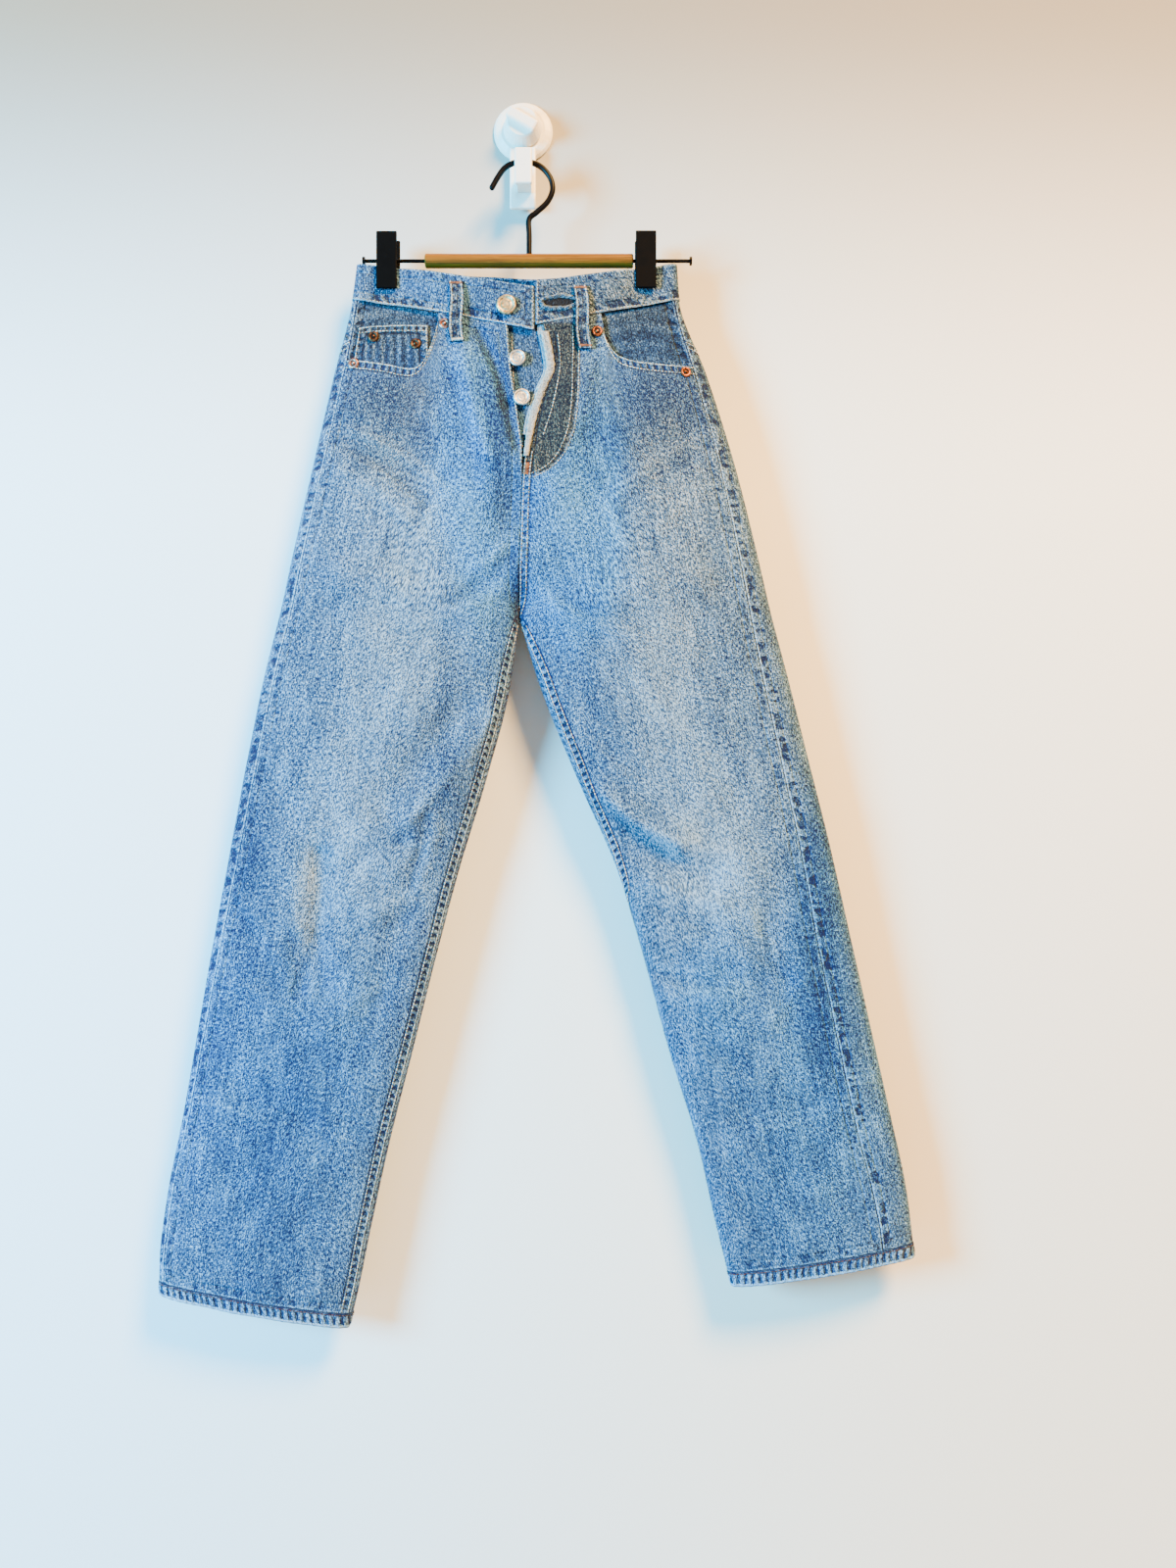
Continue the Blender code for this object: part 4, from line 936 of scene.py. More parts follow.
class Graph:
    """A node tree, with short calls that add nodes and join them."""

    def __init__(self, tree):
        self.tree = tree

    def add(self, kind, feeds=None, **settings):
        node = self.tree.nodes.new(kind)
        for key, value in settings.items():
            setattr(node, key, value)
        for key, value in (feeds or {}).items():
            self.feed(node.inputs[key], value)
        return node

    def feed(self, socket, value):
        if isinstance(value, bpy.types.NodeSocket):
            self.tree.links.new(value, socket)
        else:
            socket.default_value = value

    def math(self, operation, *values):
        node = self.add("ShaderNodeMath", operation=operation)
        for socket, value in zip(node.inputs, values):
            self.feed(socket, value)
        return node.outputs[0]

    def scale(self, vector, by):
        node = self.add("ShaderNodeVectorMath", {0: vector, 1: by}, operation="MULTIPLY")
        return node.outputs[0]

    def noise(self, vector, by, detail=1.0):
        """Smooth noise at a scale of by for each metre."""
        feeds = {"Vector": self.scale(vector, by), "Scale": 1.0, "Detail": detail}
        return self.add("ShaderNodeTexNoise", feeds).outputs[0]

    def step(self, value, low, high, to_low=0.0, to_high=1.0):
        """A soft step from to_low to to_high between two values."""
        feeds = {0: value, 1: low, 2: high, 3: to_low, 4: to_high}
        return self.add("ShaderNodeMapRange", feeds, interpolation_type="SMOOTHSTEP").outputs[0]

    def window(self, value, rise, fall, high=1.0):
        """0, then high between the rise and the fall, each a pair of values."""
        return self.math("MULTIPLY", self.step(value, *rise), self.step(value, *fall, high, 0.0))

    def mix(self, share, first, second, blend="MIX"):
        feeds = {0: share, 6: first, 7: second}
        return self.add("ShaderNodeMix", feeds, data_type="RGBA", blend_type=blend).outputs[2]

    def split(self, vector):
        return self.add("ShaderNodeSeparateXYZ", {0: vector}).outputs


def colour(red, green, blue):
    """A screen colour, 0 to 255 a channel, as scene-linear values."""
    value = np.array((red, green, blue)) / 255.0
    linear = np.where(value <= 0.04045, value / 12.92, ((value + 0.055) / 1.055) ** 2.4)
    return (*linear.tolist(), 1.0)


def new_group(name, inputs, outputs):
    """An empty shader group with its sockets, as (label, kind) pairs."""
    group = bpy.data.node_groups.new(name, "ShaderNodeTree")
    for label, kind in inputs:
        group.interface.new_socket(label, in_out="INPUT", socket_type=kind)
    for label, kind in outputs:
        group.interface.new_socket(label, in_out="OUTPUT", socket_type=kind)
    graph = Graph(group)
    return group, graph, graph.add("NodeGroupInput").outputs, graph.add("NodeGroupOutput").inputs


# Features for each metre across and along the cloth.
SLUBS = (960.0, 330.0, 0.0)
CROSS_SLUBS = (420.0, 820.0, 0.0)
GRAIN = (1700.0, 900.0, 0.0)
TWILL_LINES = 5600.0
LIE = (60.0, 90.0, 0.0)
# Slow changes of tone: features as above, detail and strength.
SLOW_TONES = (
    ((90.0, 40.0, 0.0), 3.0, 0.45),
    ((17.0, 9.0, 0.0), 2.0, 0.5),
    ((300.0, 26.0, 0.0), 2.0, 0.85),
)
# Beside a seam: features for each metre along it and away from it, and the distances
# between which each mark rises and falls.
WANDER = (45.0, 25.0, 0.0)
WANDER_TURNS = 8.0
RUNG_PITCH = 6.6 * MM
RUNGS = ((1.2 * MM, 2.6 * MM), (6.0 * MM, 7.8 * MM))
# The groove's and the shut line's darkening is painted shade.
GROOVE = ((6.8 * MM, 7.8 * MM), (8.4 * MM, 9.8 * MM))
GROOVE_PAINTED_SHADE = -0.62
BLOTS = (165.0, 100.0, 0.0)
BLOT_BAND = ((1.0 * MM, 3.0 * MM), (7.0 * MM, 12.0 * MM))
RIM = (1.4 * MM, 2.4 * MM)
RIM_PALE = 0.6
SHUT = (0.3 * MM, 0.8 * MM)
SHUT_PAINTED_SHADE = -1.3
BLUER = (0.4, 1.02, 1.66, 1.0)
BROWNER = (0.85, 0.6, 0.36, 1.0)


def cloth_marks(graph, cloth, fade, flecks):
    """The paleness of open cloth, and its slubs and grain for the height."""
    slub = graph.step(graph.noise(cloth, SLUBS), 0.36, 0.64, -0.5, 0.5)
    cross_slub = graph.step(graph.noise(cloth, CROSS_SLUBS), 0.36, 0.64, -0.5, 0.5)
    grain = graph.step(graph.noise(cloth, GRAIN, 0.0), 0.32, 0.68, -0.5, 0.5)
    level = fade
    for scale, detail, strength in SLOW_TONES:
        slow = graph.math("SUBTRACT", graph.noise(cloth, scale, detail), 0.5)
        level = graph.math("MULTIPLY_ADD", slow, strength, level)
    fleck = graph.math("MULTIPLY_ADD", cross_slub, 0.5, slub)
    fleck = graph.math("MULTIPLY_ADD", grain, 0.7, fleck)
    return graph.math("MULTIPLY_ADD", fleck, flecks, level), slub, grain


def seam_marks(graph, away, beside, pucker, blotch):
    """What a sewn edge does to the cloth, as additions to its paleness.

    They are the puckers across it, a dark groove past them as painted shade, dark blots, the edge's pale
    worn rim, and the dark line where it is shut, also painted shade.
    """
    place = graph.add("ShaderNodeCombineXYZ", {0: beside, 1: away}).outputs[0]
    wander = graph.math("MULTIPLY", graph.noise(place, WANDER), WANDER_TURNS)
    turns = graph.math("MULTIPLY_ADD", beside, 2 * math.pi / RUNG_PITCH, wander)
    rungs = graph.step(graph.math("SINE", turns), -0.3, 0.8, 0.14, -0.62)
    folds = graph.math("MULTIPLY", rungs, graph.math("MULTIPLY", graph.window(away, *RUNGS), pucker))
    groove = graph.window(away, *GROOVE, GROOVE_PAINTED_SHADE)
    blots = graph.step(graph.noise(place, BLOTS), 0.46, 0.6, 0.12, -0.6)
    blot_band = graph.math("MULTIPLY", graph.window(away, *BLOT_BAND), blotch)
    blots = graph.math("MULTIPLY", blots, blot_band)
    sewn = graph.math("MAXIMUM", pucker, blotch)
    rim = graph.math("MULTIPLY", graph.step(away, *RIM, RIM_PALE, 0.0), sewn)
    shut = graph.math("MULTIPLY", graph.step(away, *SHUT, SHUT_PAINTED_SHADE, 0.0), sewn)
    return folds, groove, blots, rim, shut


def wash(graph, level, given):
    """The colour at a paleness: dark, middle or pale, then cast bluer or browner."""
    shade = graph.mix(graph.step(level, -0.1, 0.5), given["Dark"], given["Middle"])
    shade = graph.mix(graph.step(level, 0.5, 1.1), shade, given["Pale"])
    bluer = graph.step(given["Cast"], 0.0, 1.0)
    browner = graph.step(given["Cast"], -0.6, 0.0, 1.0, 0.0)
    shade = graph.mix(bluer, shade, BLUER, "MULTIPLY")
    return graph.mix(browner, shade, BROWNER, "MULTIPLY")


def denim_group():
    """Washed twill: slubs and flecks along the cloth, with puckers beside its seams.

    Paleness = fade and painted shade + slow tones + flecks + what the seams do, with painted shade in their
    grooves and shut lines, read on a scale that runs from dark through middle to pale. Height is in metres.
    """
    number, tint, place = "NodeSocketFloat", "NodeSocketColor", "NodeSocketVector"
    inputs = {
        place: ("Cloth", "Seam"),
        number: ("Fade", "Cast", "Pucker", "Blotch", "Flecks"),
        tint: ("Dark", "Middle", "Pale"),
    }
    sockets = [(label, kind) for kind, labels in inputs.items() for label in labels]
    group, graph, given, out = new_group("washed_twill", sockets, (("Colour", tint), ("Height", number)))
    across, along, _ = graph.split(given["Cloth"])
    away, beside, _ = graph.split(given["Seam"])
    level, slub, grain = cloth_marks(graph, given["Cloth"], given["Fade"], given["Flecks"])
    marks = seam_marks(graph, away, beside, given["Pucker"], given["Blotch"])
    folds, groove, blots, rim, shut = marks
    # The groove and the shut line add painted shade.
    level = graph.math("MULTIPLY_ADD", groove, given["Pucker"], level)
    for mark in (folds, blots, rim, shut):
        level = graph.math("ADD", mark, level)
    graph.feed(out["Colour"], wash(graph, level, given))
    twill = graph.math("SINE", graph.math("MULTIPLY", graph.math("ADD", across, along), TWILL_LINES))
    lie = graph.noise(given["Cloth"], LIE, 2.0)
    heights = (
        (slub, 0.3 * MM),
        (grain, 0.16 * MM),
        (twill, 0.03 * MM),
        (lie, 0.9 * MM),
        (folds, 2.2 * MM),
        (blots, 1.8 * MM),
        (groove, 1.0 * MM),
    )
    height = 0.0
    for mark, high in heights:
        height = graph.math("MULTIPLY_ADD", mark, high, height)
    graph.feed(out["Height"], height)
    return group


def new_material(name, base, roughness=0.5, metallic=0.0):
    """A material, its graph and its shader, with constants on the shader's own sockets."""
    material = bpy.data.materials.new(name)
    material.use_nodes = True
    shader = material.node_tree.nodes["Principled BSDF"]
    shader.inputs["Base Color"].default_value = base
    shader.inputs["Roughness"].default_value = roughness
    shader.inputs["Metallic"].default_value = metallic
    material.diffuse_color = base
    return material, Graph(material.node_tree), shader


def object_place(graph):
    return graph.add("ShaderNodeTexCoord").outputs["Object"]


def add_bump(graph, shader, height):
    """Turns a height in metres into the shader's normal."""
    bump = graph.add("ShaderNodeBump", {"Strength": 1.0, "Distance": 1.0, "Height": height})
    graph.feed(shader.inputs["Normal"], bump.outputs[0])


def denim(name, dark, middle, pale, flecks=0.74):
    """A denim of its own shades, in the washed twill."""
    material, graph, shader = new_material(name, middle, 0.92)
    shader.inputs["Sheen Weight"].default_value = 0.06
    shader.inputs["Sheen Roughness"].default_value = 0.5
    shader.inputs["Specular IOR Level"].default_value = 0.12
    twill = graph.add("ShaderNodeGroup", node_tree=TWILL)
    for label, layer in (("Cloth", CLOTH_MAP), ("Seam", SEAM_MAP)):
        graph.feed(twill.inputs[label], graph.add("ShaderNodeUVMap", uv_map=layer).outputs[0])
    for layer in (FADE_AND_SHADE_LAYER, CAST_LAYER, PUCKER_LAYER, BLOTCH_LAYER):
        value = graph.add("ShaderNodeAttribute", attribute_name=layer).outputs["Fac"]
        graph.feed(twill.inputs[layer.capitalize()], value)
    for label, value in (("Dark", dark), ("Middle", middle), ("Pale", pale)):
        twill.inputs[label].default_value = value
    twill.inputs["Flecks"].default_value = flecks
    graph.feed(shader.inputs["Base Color"], twill.outputs["Colour"])
    add_bump(graph, shader, twill.outputs["Height"])
    return material


TWILL = denim_group()
BODY_DENIM = denim("body_denim", colour(10, 22, 48), colour(66, 90, 108), colour(158, 170, 176))
BAND_DENIM = denim("band_denim", colour(8, 18, 42), colour(50, 76, 96), colour(144, 156, 162), 0.68)
INNER_DENIM = denim("inner_denim", colour(6, 12, 28), colour(32, 54, 74), colour(108, 126, 138), 0.6)
# Painted shade: near-black cloth for the shade inside the buttonhole.
HOLLOW_SHADE_DENIM = denim("hollow_painted_shade", colour(6, 8, 14), colour(14, 20, 30), colour(40, 52, 66))
CREAM_DENIM = denim("cream_denim", colour(74, 78, 80), colour(146, 148, 144), colour(206, 206, 196), 0.4)


FRONT_COLUMNS = 64
FRONT_TOP_ROWS = 76
LEG_ROWS = 300
BACK_COLUMNS = 76
BACK_TOP_ROWS = 40
YOKE_ROWS = 24


def leg_levels(side):
    """Levels from the hip to the hem's seam."""
    end = LEG_END[side] - HEM_TALL - SEAM_GAP / 2
    return np.linspace(HIP, end, LEG_ROWS)[1:]


def mouth_route(side):
    """The pocket mouth from the outseam up to the waist seam, as levels and turns."""
    outline = smooth_route(MOUTHS[side], 16) * MM
    below, turn = locate(side, "front", outline[:, 0], outline[:, 1])
    start = front_turns(side, below)[0]
    inside = (turn > start) & (below > SEAM_GAP / 2)
    below, turn = below[inside][::-1], turn[inside][::-1]
    outseam = front_turns(side, below[:1])[0]
    below = np.concatenate([below[:1], below, [SEAM_GAP / 2]])
    turn = np.concatenate([outseam, turn, turn[-1:]])
    return below, turn


def front_grid(side):
    """Levels and turns of a front panel, whose top row runs round its pocket mouth.

    Between the top row and the hip, both the level and the share of the way across go
    evenly from one to the other.
    """
    share = edge_dense(FRONT_COLUMNS)
    below, turn = mouth_route(side)
    seam_turn = np.linspace(turn[-1], front_turns(side, np.array([SEAM_GAP / 2]))[1][0], 40)[1:]
    below = np.concatenate([below, np.full(len(seam_turn), SEAM_GAP / 2)])
    turn = np.concatenate([turn, seam_turn])
    start, end = front_turns(side, below)
    way = np.stack([below, (turn - start) / (end - start)], axis=-1)
    run = lengths(skin(side, below, turn))
    top = respace(way, run / run[-1], share)
    down = np.linspace(0.0, 1.0, FRONT_TOP_ROWS)[:, None]
    upper_level = top[None, :, 0] * (1 - down) + HIP * down
    upper_share = top[None, :, 1] * (1 - down) + share[None, :] * down
    levels = leg_levels(side)[:, None]
    level = np.concatenate([upper_level, np.repeat(levels, FRONT_COLUMNS, axis=1)])
    part = np.concatenate([upper_share, np.repeat(share[None, :], len(levels), axis=0)])
    start, end = front_turns(side, level)
    return level, start + (end - start) * part


# Only the top edge past this x is a pocket mouth. The left front laps over the right one
# at the centre seam, so only its own edge puckers there.
MOUTH_X = 70.0 * MM
SEAT_PUCKER = {"right": 0.0, "left": 0.55}


def make_front(side):
    """A front panel, puckered along its pocket mouth and its inseam."""

    def inseam_pucker(points):
        return np.where(points[..., 2] < WAIST_Z - FORK, 1.0, SEAT_PUCKER[side])

    def mouth_pucker(points):
        return np.where(np.abs(points[..., 0]) > MOUTH_X, 0.9, 0.0)

    level, turn = front_grid(side)
    outer, inner = (skin(side, level, turn, inset) for inset in (0.0, WALL))
    seams = {
        "left": (0.0, 0.35),
        "right": (inseam_pucker, 0.0),
        "top": (mouth_pucker, 0.0),
        "bottom": (0.0, 0.5),
    }
    add_wall("front_" + side, outer, inner, BODY_DENIM, seams=seams, tone=TONE["front"])


def back_part(name, side, level, seams):
    """A back panel or yoke, from its levels."""
    share = edge_dense(BACK_COLUMNS)[None, :]
    start, end = back_turns(side, level)
    turn = start * (1 - share) + end * share
    outer, inner = (skin(side, level, turn, inset) for inset in (0.0, WALL))
    add_wall(name + "_" + side, outer, inner, BODY_DENIM, seams=seams, tone=TONE["back"])


def yoke_seam():
    """Level of the yoke seam from the outseam to the centre back."""
    return YOKE_SIDE + (YOKE_CENTRE - YOKE_SIDE) * edge_dense(BACK_COLUMNS)[None, :]


def make_back(side):
    top = yoke_seam() + SEAM_GAP / 2
    upper = top + (HIP - top) * np.linspace(0.0, 1.0, BACK_TOP_ROWS)[:, None]
    lower = np.repeat(leg_levels(side)[:, None], BACK_COLUMNS, axis=1)
    seams = {"left": (0.0, 0.9), "right": (0.5, 0.3), "top": (0.8, 0.0), "bottom": (0.0, 0.5)}
    back_part("back", side, np.concatenate([upper, lower]), seams)


def make_yoke(side):
    down = np.linspace(0.0, 1.0, YOKE_ROWS)[:, None]
    level = SEAM_GAP / 2 + (yoke_seam() - SEAM_GAP) * down
    back_part("yoke", side, level, {"left": (0.0, 0.8), "right": (0.6, 0.0), "bottom": (0.0, 0.6)})


BAND_ROWS = 20
BAND_COLUMNS = 132
BAND_END = 0.003


def make_waistband():
    """One strip from the right half's centre front, round the back, to the left half's."""
    below = np.linspace(BAND_TOP, -SEAM_GAP / 2, BAND_ROWS)[:, None]
    turns = np.linspace(math.pi / 2 - BAND_END, -math.pi / 2, BAND_COLUMNS)[None, :]
    layers = []
    for inset in (-BAND_PROUD, BAND_WALL - BAND_PROUD):
        right = skin("right", below, turns, inset)
        left = skin("left", below, turns[:, ::-1], inset)
        layers.append(np.concatenate([right[:, :-1], left], axis=1))
    seams = {"left": (0.4, 0.0), "right": (0.4, 0.0), "top": (0.0, 0.35), "bottom": (0.0, 1.0)}
    add_wall("waistband", *layers, BAND_DENIM, seams=seams, tone=TONE["waistband"])


HEM_ROWS = 9
HEM_COLUMNS = 190
ROPE_HIGH = 0.45 * MM
ROPE_PITCH = 8.0 * MM
ROPE_SLANT = 0.8


def make_hem(side):
    """The turned-up end of a leg, roped by slanted ridges."""
    top = LEG_END[side] - HEM_TALL + SEAM_GAP / 2
    level = np.linspace(top, LEG_END[side], HEM_ROWS)[:, None]
    turn = np.linspace(-math.pi, math.pi, HEM_COLUMNS, endpoint=False)[None, :]
    outer = skin(side, level, turn, -HEM_PROUD)
    inner = skin(side, level, turn, HEM_WALL - HEM_PROUD)
    across, down = grid_lengths(outer)
    wander = 1.3 * np.sin(across * 90)
    rope = ROPE_HIGH * np.sin(2 * math.pi * (across - ROPE_SLANT * down) / ROPE_PITCH + wander)
    outer = outer + outward_normals(outer, inner, ring=True) * rope[..., None]
    seams = {"bottom": (1.0, 0.0)}
    add_wall("hem_" + side, outer, inner, BODY_DENIM, seams=seams, ring=True, tone=TONE["hem"], stretch=1.6)


# How deep under the waist each pocket mouth lets the facing show.
MOUTH_DEEP = {"right": 52 * MM, "left": 58 * MM}
FACING_BLEND = 9 * MM
COIN_CREASE = 7.4 * MM
COIN_PLEAT = 0.5 * MM
COIN_HEM = 0.3 * MM
COIN_COLUMNS = 46
COIN_ROWS = 40


def facing_wrinkle_shading(points):
    """Pale and dark bands painted across a pocket facing: the light and shade of soft curved wrinkles."""
    bend = points[:, 2] + 6.0 * (np.abs(points[:, 0]) - 0.11) ** 2
    wrinkle_shading = 0.12 * np.sin(bend * 420.0) + 0.07 * np.sin(bend * 230.0 + points[:, 0] * 60.0)
    return TONE["pocket_facing"] + wrinkle_shading


def make_facing(side):
    """The cloth behind a pocket mouth, on the front's lines, sunk but at the outseam."""
    level = np.linspace(SEAM_GAP / 2, FACING_DEEP - 10 * MM, 50)[:, None]
    share = np.linspace(0.0, FACING_SHARE, 60)[None, :]
    start, end = front_turns(side, level)
    turn = start + (end - start) * share
    wide = np.abs(edges(side, level)[0] - edges(side, level)[2])
    beside = soft_step(share * wide, 0.0, FACING_BLEND)
    under = soft_step(level, MOUTH_DEEP[side] - FACING_BLEND, MOUTH_DEEP[side] - 1 * MM)
    deepest = WALL + LAYER_GAP + WALL + UNDER_GAP
    inset = SEAM_GAP + (deepest - SEAM_GAP) * np.maximum(beside, under)
    inset = inset * soft_step(level, -FACING_BLEND, FACING_BLEND) ** 0.3
    outer, inner = (skin(side, level, turn, inset + deep) for deep in (0.0, WALL))
    name = "pocket_facing_" + side
    seams = {"left": (0.0, 0.8)}
    add_wall(name, outer, inner, INNER_DENIM, "inner_denim", seams=seams, tone=facing_wrinkle_shading)


def coin_crease_shading(points):
    """Pale and dark bands painted down the coin pocket: the light and shade of its creases."""
    across = points[:, 0] + 0.12 * points[:, 2]
    wander = np.sin(points[:, 2] * 190.0) * 0.7
    return TONE["coin_pocket"] + 0.26 * np.sin(2 * math.pi * across / COIN_CREASE + wander)


def make_coin_pocket():
    """The small pocket on the right facing, with pleats that fade out under its hem."""
    across = np.linspace(*COIN_SHARES, COIN_COLUMNS)[None, :]
    bottom = FACING_DEEP - 16 * MM
    top = COIN_TOP + np.linspace(COIN_SLOPE, -COIN_SLOPE, COIN_COLUMNS)[None, :]
    level = top + (bottom - top) * np.linspace(0.0, 1.0, COIN_ROWS)[:, None]
    start, end = front_turns("right", level)
    turn = start + (end - start) * across
    outer, inner = (skin("right", level, turn, WALL + LAYER_GAP + deep) for deep in (0.0, WALL))
    pleat = COIN_PLEAT * np.sin(2 * math.pi * np.linspace(0.0, 7.5, COIN_COLUMNS))[None, :]
    pleat = pleat * soft_step(level - top, 3 * MM, 14 * MM) + COIN_HEM * (level - top < 7 * MM)
    outer = outer + outward_normals(outer, inner) * pleat[..., None]
    seams = {"left": (0.7, 0.0), "right": (0.7, 0.0), "top": (0.9, 0.0)}
    add_wall("coin_pocket", outer, inner, INNER_DENIM, "inner_denim", seams=seams, tone=coin_crease_shading)


ROLL_WIDE = 3.7 * MM
ROLL_THICK = 1.5 * MM
ROLL_WALL = 0.6 * MM
ROLL_FROM = 1.0
ROLL_NARROWS = 70.0
ROLL_TO = 112.0


def make_underlap():
    """The strip under both fronts, which carries the fly buttons."""
    share = np.linspace(0.0, 1.0, 24)[None, :]
    level = np.linspace(-9.0, 118.0, 64)[:, None] * MM
    right = smooth_curve(FLY, FLY_COLUMNS.index("right_edge"), level) * MM
    start = centre_x(level) - right - 8 * MM
    x = start + (fly_edge_x(level) + 12 * MM - start) * share
    deep = 2 * (WALL + UNDER_GAP)
    outer, inner = (cloth("front", x, WAIST_Z - level, inset) for inset in (deep, deep + WALL))
    add_wall("fly_underlap", outer, inner, INNER_DENIM, "inner_denim", tone=TONE["fly_underlap"])


def make_fly_facing():
    """The strip behind the left front, which shows beside its open edge."""
    share = np.linspace(0.0, 1.0, 24)[None, :]
    level = np.linspace(-6.0, 92.0, 50)[:, None] * MM
    x = fly_edge_x(level) - 4.8 * MM + 30.0 * MM * share
    deep = WALL + UNDER_GAP
    outer, inner = (cloth("front", x, WAIST_Z - level, inset) for inset in (deep, deep + WALL))
    add_wall("fly_facing", outer, inner, CREAM_DENIM, tone=TONE["fly_facing"], cast=FACING_CAST)


def make_fly_roll():
    """The open edge's own worn roll: part of an ellipse along it, narrower at its end."""
    level = np.linspace(ROLL_FROM, ROLL_TO, 90)
    turn = np.linspace(-0.35, 1.35, 17)[None, :] * math.pi
    path_x = fly_edge_x(level * MM) + 1.2 * MM
    path = cloth("front", path_x, WAIST_Z - level * MM, -0.2 * MM)
    narrowing = 1 - 0.35 * soft_step(level, ROLL_NARROWS, ROLL_TO)
    wide = ROLL_WIDE * narrowing * (1 + 0.07 * np.sin(level * 0.9))
    side = np.array((1.0, 0.0, 0.0))
    up = np.array((0.0, -1.0, 0.0))
    layers = []
    for inset in (0.0, ROLL_WALL):
        around = np.cos(turn)[..., None] * side * (wide[:, None, None] - inset)
        around = around + np.sin(turn)[..., None] * up * (ROLL_THICK - inset)
        layers.append(path[:, None] + around)
    add_wall("fly_roll", *layers, CREAM_DENIM, tone=TONE["fly_roll"], cast=ROLL_CAST)


# Each back pocket's side, the x of its middle in millimetres, and its tilt as a slope.
BACK_POCKETS = (("right", -92, 0.1), ("left", 96, -0.1))
POCKET_BELOW = 62 * MM
POCKET_NARROWS = 0.14


def make_back_pocket(side, middle_x, tilt):
    """A plain patch pocket: a rectangle that narrows downwards and ends in a point."""
    columns = np.linspace(-1.0, 1.0, 56)[None, :]
    rows = np.linspace(0.0, 1.0, 60)[:, None]
    wide = POCKET_WIDE / 2 * (1 - POCKET_NARROWS * rows)
    tall = (POCKET_TALL - POCKET_POINT) + POCKET_POINT * (1 - np.abs(columns))
    x = middle_x + columns * wide
    z = WAIST_Z - POCKET_BELOW - tall * rows + tilt * (x - middle_x)
    outer, inner = (cloth("back", x, z, inset) for inset in (-POCKET_GAP - WALL, -POCKET_GAP))
    seams = {name: (0.8, 0.0) for name in ("left", "right", "top", "bottom")}
    add_wall("back_pocket_" + side, outer, inner, BODY_DENIM, seams=seams, tone=TONE["back_pocket"])


# Each belt loop's face, and its upper and lower ends as x and z in millimetres.
LOOPS = (
    ("front", -56.6, -153.5, -54.2, -207.5),
    ("front", 51.2, -157.5, 56.6, -213.5),
    ("back", -72, -136.7, -72, -185),
    ("back", 12.7, -140, 12.7, -191.5),
    ("back", 82, -136.5, 82, -184.5),
)
LOOP_BEND = 1.2


def make_belt_loop(number, face, top_x, top_z, bottom_x, bottom_z):
    """A strip over the waistband that arches off it between its two ends, and bends a
    little to one side and back."""
    share = np.linspace(0.0, 1.0, 41)[:, None]
    middle = top_x + (bottom_x - top_x) * share + LOOP_BEND * np.sin(2 * math.pi * share)
    across = np.linspace(-0.5, 0.5, 15)[None, :]
    x = middle * MM + across * LOOP_WIDE
    z = (top_z + (bottom_z - top_z) * share) * MM
    arch = np.sin(math.pi * share) ** 0.5 * LOOP_ARCH
    under = BAND_PROUD + LAYER_GAP + arch + 0.5 * MM * soft_step(np.abs(across), 0.3, 0.46)
    outer, inner = (cloth(face, x, z, -under - thick) for thick in (WALL, 0.0))
    name = "belt_loop_" + str(number)
    seams = {edge: (0.0, 1.0) for edge in ("left", "right", "bottom")}
    tone = TONE["belt_loop"]
    add_wall(name, outer, inner, BAND_DENIM, seams=seams, tone=tone, stretch=1.25, cast=LOOP_CAST)


# The buttonhole's middle (x, z), half width and half height, in millimetres, and its slope.
BUTTONHOLE = (34.0, -172.0, 14.5, 4.2)
HOLE_SLOPE = 0.08
LIP_HIGH = 2.2 * MM


def make_buttonhole():
    """A gaping hole: a near-black sheet as painted shade in its hollow, in thick oval lips, which lie on the
    waistband's end.
    """
    x0, z0, wide, tall = (value * MM for value in BUTTONHOLE)
    turn = np.linspace(0.0, 2 * math.pi, 72, endpoint=False)[None, :]
    wave = 1 + 0.07 * np.sin(5 * turn + 0.6) + 0.05 * np.sin(9 * turn)
    over = np.linspace(0.0, 1.0, 15)[:, None]
    reach = 1.75 - 0.95 * over
    lift = BAND_PROUD + LIP_HIGH * np.sin(math.pi * over) ** 0.8 * (1 + 0.28 * np.sin(16 * turn))
    x = x0 + np.cos(turn) * wide * (1 + (reach * wave - 1) * tall / wide * 1.1)
    z = z0 + np.sin(turn) * tall * reach * wave + HOLE_SLOPE * (x - x0)
    outer, inner = (cloth("front", x, z, -lift + deep) for deep in (0.0, 0.5 * MM))
    add_wall("buttonhole_lips", outer, inner, BAND_DENIM, ring=True, tone=TONE["buttonhole_lips"], cast=LOOP_CAST)
    # Painted shade: a near-black sheet that stands for the shade inside the hole.
    across = np.linspace(-0.97, 0.97, 40)[None, :]
    x = x0 + wide * across
    z = z0 - tall * np.linspace(-1.0, 1.0, 11)[:, None] * np.sqrt(1 - across**2) + HOLE_SLOPE * (x - x0)
    outer, inner = (cloth("front", x, z, -BAND_PROUD - deep) for deep in (0.3 * MM, 0.1 * MM))
    add_wall("buttonhole_hollow", outer, inner, HOLLOW_SHADE_DENIM, tone=TONE["buttonhole_hollow"])


def make_jeans():
    """Every piece of cloth."""
    for side in ("right", "left"):
        make_front(side)
        make_back(side)
        make_yoke(side)
        make_hem(side)
        make_facing(side)
    make_coin_pocket()
    make_waistband()
    make_underlap()
    make_fly_facing()
    make_fly_roll()
    for side, middle_x, tilt in BACK_POCKETS:
        make_back_pocket(side, middle_x * MM, tilt)
    for number, loop in enumerate(LOOPS, 1):
        make_belt_loop(number, *loop)
    make_buttonhole()


STITCH_LONG = 2.6 * MM
STITCH_PITCH = 3.1 * MM
THREAD_RADIUS = 0.44 * MM
TACK_PITCH = 0.55
TACK_ZIGZAG = 0.18
SEWN = {"cream": [], "rust": [], "orange": []}


def unit(vectors):
    return vectors / np.maximum(np.linalg.norm(vectors, axis=-1, keepdims=True), 1e-12)


